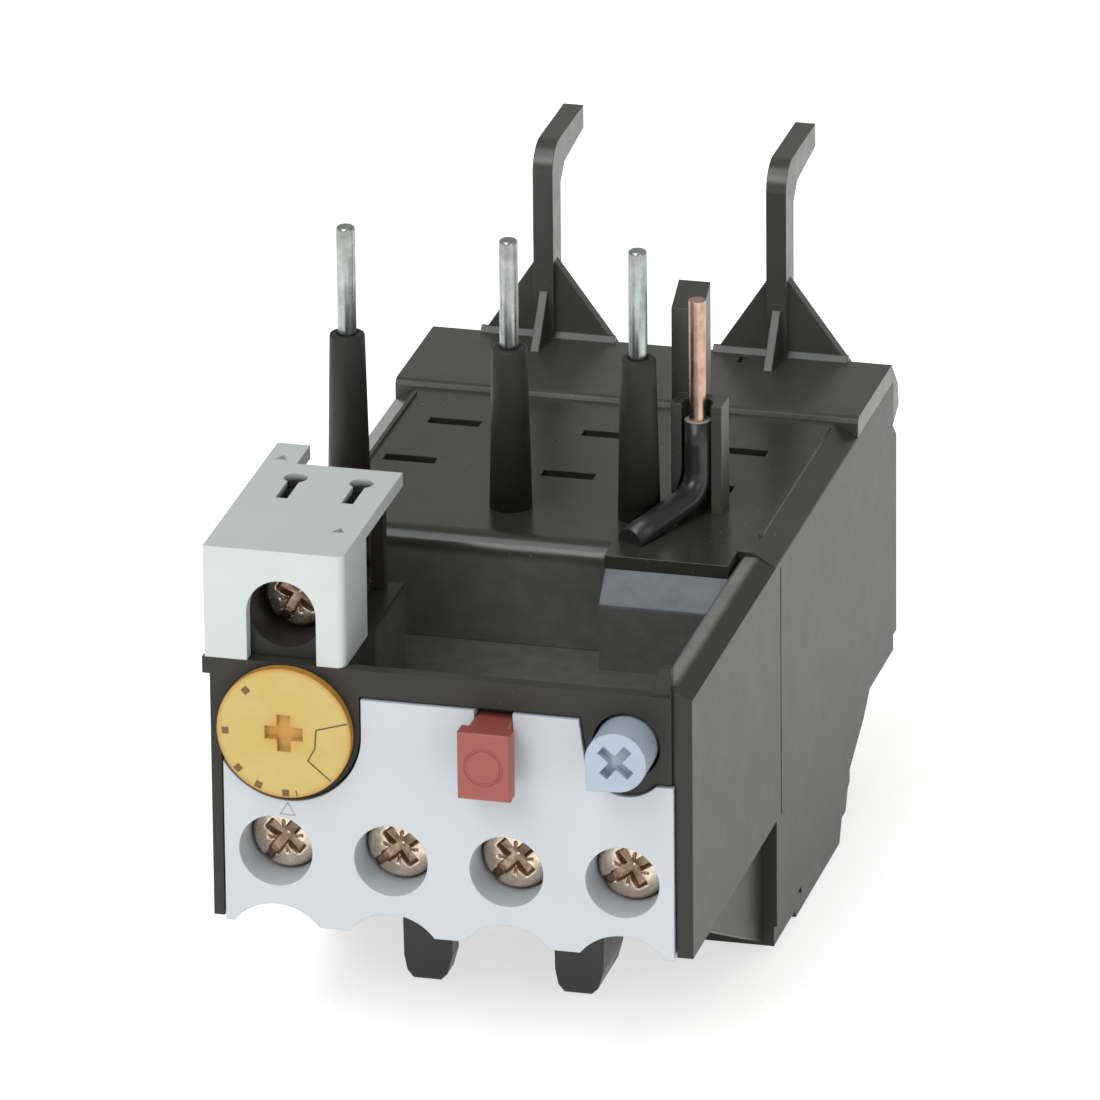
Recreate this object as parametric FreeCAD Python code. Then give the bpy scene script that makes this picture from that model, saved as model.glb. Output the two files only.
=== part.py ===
import FreeCAD, Part
import math
import os

# Thermal overload relay that plugs into the underside of a contactor.
# All lengths are millimetres.  While a piece is built, x runs from the middle of the width to the
# right, y from the front face to the back, and z up from the soles of the spacer feet.
# The finished pieces are moved so that the origin is the middle of the underside of the rear block.

# Overall housing
WIDTH = 45.0
SEAM_DEPTH = 32.4            # front moulding ends, rear moulding starts
REAR_DEPTH = 81.6            # back face of the rear moulding
ORIGIN_DEPTH = 46.0
BELLY_FRONT = 41.0           # the relay stands on the belly behind this depth
BELLY_DROP = 0.8
BELLY_BACK = 59.0            # the belly ends and the underside rises in two slopes
BELLY_RISE_BACK = 61.2
BELLY_RISE = 4.0
SLOPE_BACK = 69.1
SLOPE_TOP = 7.9
UNDERCUT_BACK = 71.7         # level underside above the mounting rail, up to the back face
UNDERCUT_TOP = 9.9
CAP_LAP = 1.5                # the cap laps over the back face from here up
CAP_LAP_BOTTOM = 32.2
CAP_LAP_TOP = 33.6
UNDERSIDE = 12.7             # underside of the front moulding above the standing plane
SIDE_TOP = 38.0              # top edge of the side walls
DECK_RISE = 1.4              # deck above the side walls
DECK_BEVEL = 2.2             # sloping edge between side wall and deck
WALL = 1.6
FIT_GAP = 0.1                # between mouldings that drop into each other
MOVING_GAP = 0.3             # between bodies that move past each other
RUNNING_GAP = 0.05           # radial, shaft in its bore

# Front moulding and its well
RIM_RISE = 0.1               # front rim above the side walls
CREST_RISE = 0.9             # flat top of the side walls beside the well
CREST_BEVEL = 1.7
RIM_THICKNESS = 1.3
POST_WALL = 2.0              # post at the right front corner
CORNER_RIB_WIDTH = 2.1
CORNER_RIB_HEIGHT = 2.9
CREST_CHAMFER = 0.6          # towards the well
RIM_LIP = 0.7                # lip under the auxiliary cover, stands out on the left
RIM_LIP_HEIGHT = 1.6
WELL_WALL = 3.5              # side wall beside the well
WELL_FLOOR = 29.0
FLOOR_THICKNESS = 1.5
MECHANISM_FRONT_TOP = 37.4    # sloping roof over the controls
MECHANISM_BACK_TOP = 34.0
MECHANISM_ROOF = 1.0
MECHANISM_BACK = 10.5
AUX_BASE_BACK = 21.0
LEDGE_WIDTH = 11.7
LEDGE_DEPTH = 6.4            # from its front edge to the seam
LEDGE_RAMP = 2.55            # 45 degree ramp from the ledge front up to the shelf
LEDGE_RISE = 0.1             # ledge above the side walls
FRONT_WALL_BACK = 2.6
CHEEK_INSET = 1.4            # finger recess in the lower side
CHEEK_START = 6.9
FOOT_OFFSET = 7.2
FOOT_FRONT = 18.0
FOOT_TOP_WIDTH = 5.0
FOOT_SOLE_WIDTH = 3.6
LEFT_FOOT_DEPTH = 2.4
RIGHT_FOOT_DEPTH = 7.6

# Light grey front plate
LEFT_STRIP = 1.1             # housing seen beside the plate
RIGHT_STRIP = 1.6
PLATE_PROUD = 0.25
PLATE_SEAT = 1.25            # depth of the pocket that the plate lies in
PLATE_BOTTOM = 12.4
PLATE_TOP = 35.4
PLATE_SHOULDER = 29.5
PLATE_KNOB_RADIUS = 3.8      # round cut-out below the reset knob
PLATE_KNOB_DROP = 0.95
PLATE_KNOB_LEAN = 0.45       # the cut-out leans outwards towards the top
SCALLOP_RADIUS = 5.0
SCALLOP_RISE = 2.0
BRIDGE_WALL = 0.85           # bridge behind the plate that guides the screw heads
BRIDGE_BACK = 5.3

# Terminals: a captive screw draws a cage forward over a fixed tongue
TERMINAL_COUNT = 4
TERMINAL_EDGE = 4.905        # from the plate's side to the middle of the outer terminals
TERMINAL_Z = 19.7
SCREW_HOLE_RADIUS = 3.45
HEAD_RADIUS = 3.2
HEAD_FRONT = 2.9
HEAD_HEIGHT = 2.1
SHANK_RADIUS = 1.75
THREAD_PITCH = 0.6
CAGE_TRAVEL = 2.6
CAGE_WIDTH = 8.0
CAGE_HEIGHT = 7.0
CAGE_SHEET = 0.8
CAGE_NUT = 1.5
WIRE_SPACE = 4.6
TONGUE_FRONT = 9.9
TONGUE_SHEET = 1.0
TONGUE_WIDTH = 5.6
ENTRY_WIDTH = 5.6
PARTITION = 1.2

# Controls in the front
DIAL_INSET = 7.2             # from the housing's left side
DIAL_Z = 31.75
DIAL_RADIUS = 6.3
DIAL_BACK = -0.2
DIAL_THICKNESS = 1.0
DIAL_CROSS_LENGTH = 3.6
DIAL_CROSS_WIDTH = 1.3
DIAL_CROSS_DEPTH = 0.7
SPINDLE_RADIUS = 1.6
CAM_LIFT_PER_DEGREE = 0.007
CAM_START_RADIUS = 2.0
DIAL_SWEEP = 130.0
STOP_X = 4.1
STOP_Z = 31.4
STOP_WIDTH = 4.9
STOP_HEIGHT = 6.5
STOP_FACE = -4.0
STOP_THICKNESS = 1.8
STOP_STEM_WIDTH = 3.5
STOP_STEM_HEIGHT = 3.0
STOP_STEM_BACK = 5.4
STOP_STEM_SLOPE = 0.8        # the stem's top slopes down at the back, under the roof
STOP_SLOPE_LENGTH = 2.4
STOP_TRAVEL = 1.8
STOP_SPRING_RISE = 0.9
STOP_SPRING_RADIUS = 1.0
RESET_INSET = 6.13           # from the housing's right side
RESET_Z = 33.05
RESET_RADIUS = 2.85
RESET_FACE = -4.0
RESET_NOSE = 3.0             # pointer below the knob's axis
RESET_STEM_RADIUS = 1.3
RESET_STEM_BACK = 4.3
RESET_SPRING_Z = 32.2
RESET_SPRING_RADIUS = 1.1
SELECTOR_RADIUS = 1.95
RESET_TRAVEL = 1.7
SPRING_WIRE = 0.3

# Auxiliary terminal on the upper left
AUX_OVERHANG = 0.43          # beyond the housing's left side
AUX_WIDTH = 13.13
AUX_TOP = 49.0
AUX_SHEET = 1.3
AUX_SIDE_BACK = 8.0
AUX_SCREW_INSET = 6.8        # from the housing's left side
AUX_SCREW_Z = 42.5
AUX_SET_BACK = 2.5           # this terminal sits deeper than the other four
AUX_ARCH_WIDTH = 6.5
AUX_ARCH_TOP = 46.1
AUX_BLOCK_FRONT = 1.6
AUX_BLOCK_BACK = 20.2

# Pins and control lead
PIN_DEPTH = 38.5
LEFT_PIN_INSET = 2.8         # from the housing's left side
MIDDLE_PIN_X = -4.2
RIGHT_PIN_TO_LEAD = 4.95
PIN_RADIUS = 0.88
PIN_SHANK = 2.0              # side of the square shank inside the sleeve
PIN_TOP = 65.8
BARE_PIN_BOTTOM = 55.2
SLEEVE_TOP_RADIUS = 1.65
SLEEVE_BASE_RADIUS = 2.0
SLEEVE_SIDES = 20
LEAD_INSET = 9.5             # from the housing's right side
LEAD_DEPTH = 41.2
LEAD_TOP = 60.3
LEAD_CORE_RADIUS = 0.8
LEAD_SKIN_RADIUS = 1.3
LEAD_SKIN_TOP = 48.5
LEAD_BEND_Z = 41.2
LEAD_BEND = 2.6
LEAD_BEND_STEPS = 3
LEAD_RUN_LEFT = 4.2          # the lead ends this far to the left and in front of its upright part
LEAD_RUN_FRONT = 9.4
LEAD_END_RISE = 0.3
GUIDE_HEIGHT = 10.7
GUIDE_WALL = 1.0
POST_TOP = 60.1
POST_WIDTH = 3.0
POST_DEPTH = 2.8
POST_SLOPE = 1.7

# Rectangular slots in the deck
DECK_SLOTS = ((-14.6, 57.6), (-16.3, 47.7), (0.3, 57.7), (-0.9, 47.1), (12.4, 47.0), (13.4, 56.4))
APRON_REACH = 2.0            # rolled front of the deck, over the well
DECK_SLOT_LENGTH = 5.0
DECK_SLOT_WIDTH = 1.6
DECK_BEAD = 0.4

# Rear cap with its two hooks
CAP_FRONT = 65.5
CAP_RISE = 2.0               # cap above the side walls
CAP_ROUND = 0.6              # eased front edge
CAP_EDGE = 2.0               # the top ends this far before the back face, and slopes down
CAP_SHOULDER = 0.6
CAP_LIP = 1.0
HOOK_OFFSET = 11.4
HOOK_INSET = 2.6             # from the back face
HOOK_WIDTH = 1.95
HOOK_BAR = 3.1
HOOK_TOP = 59.4
HOOK_REACH = 12.1
HOOK_TIP = 2.3
HOOK_KNEE = 2.8
HOOK_ROOT = 1.0              # the bar starts this far inside the cap
GUSSET_DEPTH = 4.0
GUSSET_HEIGHT = 5.0
WEB_HALF_WIDTH = 6.6
WEB_TOP = 47.7
WEB_SHEET = 1.2

# Thermal trip
POLE_INSET = 6.6             # from the inner side wall to the outer poles
POLE_WALL_LEAD = 3.3         # pole walls start this far in front of the slides
BIMETAL_DEPTH = 47.0
BIMETAL_SHEET = 0.8
BIMETAL_WIDTH = 5.0
BIMETAL_BOTTOM = 5.4
BIMETAL_TOP = 34.4
HEATER_BOTTOM = 13.0
HEATER_TURNS = 5
HEATER_PITCH = 2.5
HEATER_RIBBON = 1.6
HEATER_SHEET = 0.5
SLIDE_WIDTH = 7.4
SLIDE_SHEET = 1.4
SLIDE_BOTTOM = 6.0
SLIDE_TRAVEL = 2.0
ROCKER_INSET = 3.7           # from the inner side wall
ROCKER_Z = 20.4
ROCKER_RADIUS = 1.2
ROCKER_FRONT = 21.5
BEARING_SET_BACK = 4.0
CONTACT_REACH = 2.4

HALF = WIDTH / 2
INNER_HALF = HALF - WALL
RIM_TOP = SIDE_TOP + RIM_RISE
WALL_CREST = SIDE_TOP + CREST_RISE
LEDGE_TOP = SIDE_TOP + LEDGE_RISE
DECK_TOP = SIDE_TOP + DECK_RISE
CAP_TOP = SIDE_TOP + CAP_RISE
HOOK_DEPTH = REAR_DEPTH - HOOK_INSET
CORNER_POST = HALF - POST_WALL
WELL_RIGHT = HALF - WELL_WALL
LEDGE_LEFT = WELL_RIGHT - LEDGE_WIDTH
LEDGE_FRONT = SEAM_DEPTH - LEDGE_DEPTH
AUX_LEFT = -HALF - AUX_OVERHANG
AUX_RIGHT = AUX_LEFT + AUX_WIDTH
WELL_LEFT = AUX_RIGHT
AUX_SCREW_X = -HALF + AUX_SCREW_INSET
DIAL_X = -HALF + DIAL_INSET
RESET_X = HALF - RESET_INSET
LEAD_X = HALF - LEAD_INSET
PIN_XS = (-HALF + LEFT_PIN_INSET, MIDDLE_PIN_X, LEAD_X - RIGHT_PIN_TO_LEAD)
LEAD_END = (LEAD_X - LEAD_RUN_LEFT, LEAD_DEPTH - LEAD_RUN_FRONT, DECK_TOP + LEAD_END_RISE)
POLE_PITCH = INNER_HALF - POLE_INSET
ROCKER_X = INNER_HALF - ROCKER_INSET
PLATE_LEFT = -HALF + LEFT_STRIP
PLATE_RIGHT = HALF - RIGHT_STRIP
PLATE_MIDDLE = (PLATE_LEFT + PLATE_RIGHT) / 2
TERMINAL_PITCH = (PLATE_RIGHT - PLATE_LEFT - 2 * TERMINAL_EDGE) / (TERMINAL_COUNT - 1)
FLOOR_TOP = UNDERSIDE + WALL
CAGE_FRONT = BRIDGE_BACK + 0.2 + CAGE_TRAVEL
TONGUE_BACK = TONGUE_FRONT + TONGUE_SHEET
CAGE_BACK = TONGUE_BACK + WIRE_SPACE
HEAD_BACK = HEAD_FRONT + HEAD_HEIGHT
BRIDGE_REACH = SCREW_HOLE_RADIUS + BRIDGE_WALL
TERMINAL_XS = [PLATE_MIDDLE + (i - (TERMINAL_COUNT - 1) / 2) * TERMINAL_PITCH
               for i in range(TERMINAL_COUNT)]
POLE_XS = [-POLE_PITCH, 0.0, POLE_PITCH]
AUX_RISER_RIGHT = AUX_SCREW_X - CAGE_HEIGHT / 2 - MOVING_GAP
AUX_RISER_LEFT = AUX_RISER_RIGHT - 1.3
AUX_TONGUE_FRONT = TONGUE_FRONT + AUX_SET_BACK
AUX_TONGUE_BACK = TONGUE_BACK + AUX_SET_BACK
BUS_TOP = WELL_FLOOR - FLOOR_THICKNESS - 1.0
BUS_BOTTOM = BUS_TOP - TONGUE_SHEET


def vec(x, y, z):
    return FreeCAD.Vector(x, y, z)


def box(x0, x1, y0, y1, z0, z1):
    return Part.makeBox(x1 - x0, y1 - y0, z1 - z0, vec(x0, y0, z0))


def rod_y(x, z, radius, y0, y1):
    return Part.makeCylinder(radius, y1 - y0, vec(x, y0, z), vec(0, 1, 0))


def rod_z(x, y, radius, z0, z1):
    return Part.makeCylinder(radius, z1 - z0, vec(x, y, z0), vec(0, 0, 1))


def face_of(points):
    return Part.Face(Part.makePolygon(points + [points[0]]))


def prism_x(points, x0, x1):
    """Outline of (y, z) points, pushed along x."""
    return face_of([vec(x0, y, z) for y, z in points]).extrude(vec(x1 - x0, 0, 0))


def prism_y(points, y0, y1):
    """Outline of (x, z) points, pushed along y."""
    return face_of([vec(x, y0, z) for x, z in points]).extrude(vec(0, y1 - y0, 0))


def prism_z(points, z0, z1):
    """Outline of (x, y) points, pushed along z."""
    return face_of([vec(x, y, z0) for x, y in points]).extrude(vec(0, 0, z1 - z0))


def joined(first, *others):
    return first.fuse(list(others)).removeSplitter()


def less(base, *tools):
    return base.cut(list(tools)).removeSplitter()


def edges_where(shape, test):
    return [edge for edge in shape.Edges if test(edge.CenterOfMass, edge)]


def along(edge, axis):
    direction = edge.tangentAt(edge.FirstParameter)
    return abs(abs(direction.dot(axis)) - 1.0) < 1e-6


def save(name, shape):
    placed = shape.copy()
    placed.translate(vec(0, -ORIGIN_DEPTH, BELLY_DROP))
    placed.exportStep("parts/" + name + ".step")


# ---------------------------------------------------------------- housing


def front_section():
    """Cross-section of the front moulding, with bevelled shoulders."""
    return [(-HALF, UNDERSIDE), (HALF, UNDERSIDE), (HALF, SIDE_TOP),
            (HALF - CREST_BEVEL, WALL_CREST), (-HALF + CREST_BEVEL, WALL_CREST),
            (-HALF, SIDE_TOP)]


def cheek(side):
    """Sloping cheek under the side wall, set in to leave a finger recess."""
    outer = HALF - CHEEK_INSET
    x0 = outer - WALL if side > 0 else -outer
    outline = [(CHEEK_START, UNDERSIDE), (SEAM_DEPTH, UNDERSIDE), (SEAM_DEPTH, 0.4)]
    return prism_x(outline, x0, x0 + WALL)


def plate_pocket():
    """Room for the front plate in the front wall."""
    return plate_outline(-FIT_GAP).extrude(vec(0, PLATE_SEAT, 0))


def roof_height(y):
    """Height of the mechanism roof at a depth y."""
    slope = (MECHANISM_BACK_TOP - MECHANISM_FRONT_TOP) / (MECHANISM_BACK - RIM_THICKNESS)
    return MECHANISM_FRONT_TOP + slope * (y - RIM_THICKNESS)


def mechanism_room():
    """Space behind the front wall for dial, stop slider and reset plunger."""
    y1 = MECHANISM_BACK - RIM_THICKNESS
    roof = [(FRONT_WALL_BACK, UNDERSIDE), (y1, UNDERSIDE), (y1, roof_height(y1) - MECHANISM_ROOF),
            (FRONT_WALL_BACK, roof_height(FRONT_WALL_BACK) - MECHANISM_ROOF)]
    right = prism_x(roof, WELL_LEFT - WALL, INNER_HALF)
    left = box(-INNER_HALF, WELL_LEFT - WALL + 0.1, FRONT_WALL_BACK, AUX_BASE_BACK - WALL,
               UNDERSIDE, RIM_TOP - WALL)
    return right.fuse(left)


def sloping_roof_space():
    """Space over the sloping roof, down to the roof's upper side."""
    back = MECHANISM_BACK + 0.1
    outline = [(RIM_THICKNESS, MECHANISM_FRONT_TOP), (back, MECHANISM_BACK_TOP),
               (back, WALL_CREST), (RIM_THICKNESS, WALL_CREST)]
    return prism_x(outline, WELL_LEFT, WELL_RIGHT)


def crest_chamfer(side):
    """Bevel along the wall's crest, on the side of the well."""
    inner = side * (WELL_RIGHT - 0.1)
    reach = side * (WELL_RIGHT + CREST_CHAMFER + 0.1)
    outline = [(inner, WALL_CREST - CREST_CHAMFER - 0.1), (reach, WALL_CREST + 0.1), (inner, WALL_CREST + 0.1)]
    start = RIM_THICKNESS if side > 0 else AUX_BASE_BACK
    return prism_y(outline, start, SEAM_DEPTH)


def ledge():
    """Step at the back of the well, with a ramp up to its shelf."""
    ramp_foot = LEDGE_TOP - LEDGE_RAMP
    outline = [(LEDGE_FRONT, WELL_FLOOR), (SEAM_DEPTH, WELL_FLOOR), (SEAM_DEPTH, LEDGE_TOP),
               (LEDGE_FRONT + LEDGE_RAMP, LEDGE_TOP), (LEDGE_FRONT, ramp_foot)]
    return prism_x(outline, LEDGE_LEFT, WELL_RIGHT)


def corner_rib():
    """Upright rib beside the right front corner, with one leaning side."""
    left = CORNER_POST - CORNER_RIB_WIDTH
    top = RIM_TOP + CORNER_RIB_HEIGHT
    outline = [(left, RIM_TOP), (CORNER_POST, RIM_TOP), (CORNER_POST, top - 0.2),
               (CORNER_POST - 0.5, top), (left + 0.9, top - 0.5)]
    return prism_y(outline, 0.3, 1.2)


def corner_groove():
    """Fine groove where the corner post meets the front wall, above the plate."""
    return box(CORNER_POST + 0.1, CORNER_POST + 0.4, -0.1, 0.35, PLATE_SHOULDER, WALL_CREST + 0.1)


def front_housing():
    body = prism_y(front_section(), 0, SEAM_DEPTH)
    rim_cut = box(-HALF, CORNER_POST, 0, RIM_THICKNESS, RIM_TOP, WALL_CREST)
    aux_cut = box(-HALF, WELL_LEFT, 0, AUX_BASE_BACK, RIM_TOP, WALL_CREST)
    well = box(WELL_LEFT, WELL_RIGHT, MECHANISM_BACK, SEAM_DEPTH, WELL_FLOOR, WALL_CREST)
    behind_aux = box(-WELL_RIGHT, WELL_LEFT, AUX_BASE_BACK, SEAM_DEPTH, WELL_FLOOR, WALL_CREST)
    inside = box(-INNER_HALF, INNER_HALF, FRONT_WALL_BACK, SEAM_DEPTH,
                 UNDERSIDE, WELL_FLOOR - FLOOR_THICKNESS)
    body = less(body, rim_cut, aux_cut, well, sloping_roof_space(), behind_aux, inside,
                mechanism_room(), crest_chamfer(-1), crest_chamfer(1))
    lip = box(-HALF - RIM_LIP, -HALF, 0, AUX_BASE_BACK, RIM_TOP - RIM_LIP_HEIGHT, RIM_TOP)
    body = joined(body, ledge(), lip, corner_rib(), cheek(-1), cheek(1))
    body = less(body, plate_pocket(), corner_groove(),
                *(front_wall_holes() + scallops(FRONT_WALL_BACK + 0.1)))
    return less(body, aux_tongue_slot(), *cap_notches())


def bridge(gap, y0, y1):
    """Block across all four terminals, right behind the plate."""
    reach = BRIDGE_REACH + gap
    return box(TERMINAL_XS[0] - reach, TERMINAL_XS[-1] + reach, y0, y1,
               TERMINAL_Z - reach, TERMINAL_Z + reach)


def front_wall_holes():
    """Holes for the plate's bridge, the dial spindle, the stop stem and the reset plunger."""
    through = FRONT_WALL_BACK + 0.1
    holes = [bridge(FIT_GAP, -0.1, through)]
    holes.append(rod_y(DIAL_X, DIAL_Z, SPINDLE_RADIUS + RUNNING_GAP, -0.1, through))
    holes.append(stop_slot(-0.1, through))
    holes.append(rod_y(RESET_X, RESET_Z, RESET_RADIUS + MOVING_GAP, -0.1, through))
    return holes


def stop_slot(y0, y1):
    half = STOP_STEM_WIDTH / 2 + RUNNING_GAP
    top = STOP_Z + STOP_HEIGHT / 2 + RUNNING_GAP
    bottom = STOP_Z + STOP_HEIGHT / 2 - STOP_STEM_HEIGHT - RUNNING_GAP
    return box(STOP_X - half, STOP_X + half, y0, y1, bottom, top)


def scallops(y1):
    """Round hollows under the terminals that clear the wires."""
    return [rod_y(x, PLATE_BOTTOM + SCALLOP_RISE - SCALLOP_RADIUS, SCALLOP_RADIUS, -1, y1)
            for x in TERMINAL_XS]


def aux_tongue_slot():
    """Slot through the base of the auxiliary terminal for the riser of its contact tongue."""
    return box(AUX_RISER_LEFT - FIT_GAP, AUX_RISER_RIGHT + FIT_GAP, AUX_TONGUE_FRONT - FIT_GAP,
               AUX_TONGUE_BACK + FIT_GAP, RIM_TOP - WALL - 0.1, RIM_TOP + 0.1)


def cap_notches():
    """Two latch notches under the deck's front edge."""
    return [box(x - 1.6, x + 1.6, SEAM_DEPTH - 1.0, SEAM_DEPTH + 0.1, LEDGE_TOP - 1.2, LEDGE_TOP + 1.0)
            for x in (LEDGE_LEFT + 3.0, WELL_RIGHT - 3.0)]


def foot(x, depth):
    """Rounded spacer foot under the terminals."""
    half_top = FOOT_TOP_WIDTH / 2
    half_bottom = FOOT_SOLE_WIDTH / 2
    front = FOOT_FRONT
    outline = [(x - half_top, UNDERSIDE + 0.5), (x + half_top, UNDERSIDE + 0.5),
               (x + half_top - 0.2, 2.4), (x + half_bottom, 0.6), (x + half_bottom - 0.6, 0),
               (x - half_bottom + 0.4, 0), (x - half_bottom - 0.2, 0.7), (x - half_top + 0.2, 2.2)]
    return prism_y(outline, front, front + depth)


def terminal_block():
    """Floor, partitions and feet of the terminals, with a wire entry under each."""
    half = INNER_HALF - FIT_GAP
    front = FRONT_WALL_BACK + FIT_GAP
    floor = box(-half, half, front, SEAM_DEPTH - FIT_GAP, UNDERSIDE, FLOOR_TOP)
    pieces = []
    for left, right in zip(TERMINAL_XS, TERMINAL_XS[1:]):
        middle = (left + right) / 2
        pieces.append(box(middle - PARTITION / 2, middle + PARTITION / 2, front,
                          CAGE_BACK + 2.0, FLOOR_TOP, BUS_BOTTOM - 0.6))
    pieces.append(box(-half, half, CAGE_BACK + 2.0, CAGE_BACK + 3.0, FLOOR_TOP, BUS_BOTTOM - 0.6))
    pieces.append(foot(-FOOT_OFFSET, LEFT_FOOT_DEPTH))
    pieces.append(foot(FOOT_OFFSET, RIGHT_FOOT_DEPTH))
    block = joined(floor, *pieces)
    entries = [box(x - ENTRY_WIDTH / 2, x + ENTRY_WIDTH / 2, TONGUE_BACK, CAGE_BACK,
                   UNDERSIDE - 0.1, FLOOR_TOP + 0.1) for x in TERMINAL_XS]
    room = bridge(FIT_GAP, 0, BRIDGE_BACK + MOVING_GAP)
    return less(block, room, *(entries + scallops(CAGE_FRONT - 0.4)))


def rear_outline(inset):
    """Side outline of the rear moulding: belly below, low back corner cut away for the rail."""
    back = REAR_DEPTH - inset
    step = BELLY_FRONT + inset * 0.6
    belly = inset - BELLY_DROP
    lap = min(back, REAR_DEPTH - CAP_LAP)
    return [(SEAM_DEPTH, inset), (step - 0.2, inset), (step + 0.2, belly),
            (BELLY_BACK - inset * 0.5, belly), (BELLY_RISE_BACK - inset * 0.6, BELLY_RISE + inset * 0.4),
            (SLOPE_BACK - inset * 0.4, SLOPE_TOP + inset), (UNDERCUT_BACK, UNDERCUT_TOP + inset),
            (back, UNDERCUT_TOP + inset), (back, CAP_LAP_BOTTOM), (lap, CAP_LAP_TOP),
            (lap, SIDE_TOP), (SEAM_DEPTH, SIDE_TOP)]


def rear_housing():
    body = prism_x(rear_outline(0), -HALF, HALF)
    inner = prism_x(rear_outline(WALL), -INNER_HALF, INNER_HALF)
    mouth = box(-INNER_HALF, INNER_HALF, SEAM_DEPTH - 0.1, SEAM_DEPTH + 1.0, WALL, SIDE_TOP)
    body = less(body, inner, mouth)
    walls = []
    for x in (-POLE_PITCH / 2, POLE_PITCH / 2):
        wall = prism_x(rear_outline(WALL * 0.8), x - PARTITION / 2, x + PARTITION / 2)
        low = box(x - PARTITION, x + PARTITION, BIMETAL_DEPTH - SLIDE_WIDTH / 2 - POLE_WALL_LEAD, REAR_DEPTH,
                  -BELLY_DROP, BIMETAL_TOP + 0.4)
        walls.append(wall.common(low))
    front_sill = box(-INNER_HALF, INNER_HALF, SEAM_DEPTH, SEAM_DEPTH + WALL, WALL * 0.5, UNDERSIDE - 0.2)
    body = joined(body, front_sill, *walls)
    window = box(-POLE_PITCH, POLE_PITCH, BIMETAL_DEPTH - SLIDE_WIDTH / 2 - MOVING_GAP,
                 BIMETAL_DEPTH + SLIDE_WIDTH / 2 + MOVING_GAP, SLIDE_BOTTOM - MOVING_GAP,
                 SLIDE_BOTTOM + 2 * SLIDE_SHEET + 3 * MOVING_GAP)
    skirt = less(prism_x(rear_outline(-0.1), HALF - 0.3, HALF + 0.1),
                 prism_x(rear_outline(2.0), HALF - 0.4, HALF + 0.2),
                 box(HALF - 1, HALF + 1, BELLY_BACK + 1.0, REAR_DEPTH + 1, UNDERCUT_TOP + 2.1, SIDE_TOP + 1),
                 box(HALF - 1, HALF + 1, SEAM_DEPTH - 1, BELLY_BACK + 3.0, 2.0, SIDE_TOP + 1))
    groove = box(HALF - 0.25, HALF + 0.1, SEAM_DEPTH + 1.7, SEAM_DEPTH + 2.0, UNDERSIDE, SIDE_TOP - 0.6)
    mirror = vec(1, 0, 0)
    tools = [window, skirt, groove]
    tools += [skirt.mirror(vec(0, 0, 0), mirror), groove.mirror(vec(0, 0, 0), mirror)]
    return less(body, *tools)


def deck_section(half):
    return [(-half, SIDE_TOP), (half, SIDE_TOP), (half - DECK_BEVEL, DECK_TOP),
            (-half + DECK_BEVEL, DECK_TOP)]


def top_cover():
    """Deck over the rear block, with the rolled wall that closes the well."""
    deck = prism_y(deck_section(HALF), SEAM_DEPTH, CAP_FRONT)
    roll = 2.2
    front = SEAM_DEPTH - APRON_REACH
    left = -WELL_RIGHT + FIT_GAP
    apron = box(left, LEDGE_LEFT - FIT_GAP, front, SEAM_DEPTH, WELL_FLOOR + 0.02, DECK_TOP)
    edge = edges_where(apron, lambda c, e: abs(c.y - front) < 1e-6 and abs(c.z - DECK_TOP) < 1e-6)
    apron = apron.makeFillet(roll - 0.3, edge)
    shelf = box(LEDGE_LEFT - FIT_GAP, WELL_RIGHT - FIT_GAP, LEDGE_FRONT + LEDGE_RAMP + RUNNING_GAP,
                SEAM_DEPTH, LEDGE_TOP + 0.02, DECK_TOP)
    tail = box(left, LEDGE_LEFT - FIT_GAP, SEAM_DEPTH, SEAM_DEPTH + 1.4, WELL_FLOOR + 0.02, DECK_TOP)
    body = joined(deck, apron, shelf, tail)
    holes = [pin_shank(x, FIT_GAP, SIDE_TOP - 1, DECK_TOP + 1) for x in PIN_XS]
    for x, y in DECK_SLOTS:
        holes.append(box(x - DECK_SLOT_LENGTH / 2, x + DECK_SLOT_LENGTH / 2, y - DECK_SLOT_WIDTH / 2,
                         y + DECK_SLOT_WIDTH / 2, SIDE_TOP - 0.1, DECK_TOP + 0.1))
    holes.append(lead_tube(LEAD_SKIN_RADIUS + FIT_GAP))
    return less(joined(body, deck_bead(-1), deck_bead(1)), *holes)


def deck_bead(side):
    """Fine raised bead along the side edge of the deck; it starts behind the left sleeve."""
    outer = HALF - DECK_BEVEL
    x0 = outer - DECK_BEAD if side > 0 else -outer
    start = SEAM_DEPTH + 4.0 if side > 0 else PIN_DEPTH + SLEEVE_BASE_RADIUS + 0.6
    return box(x0, x0 + DECK_BEAD, start, CAP_FRONT - 1.7, DECK_TOP - 0.1, DECK_TOP + 0.25)


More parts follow.
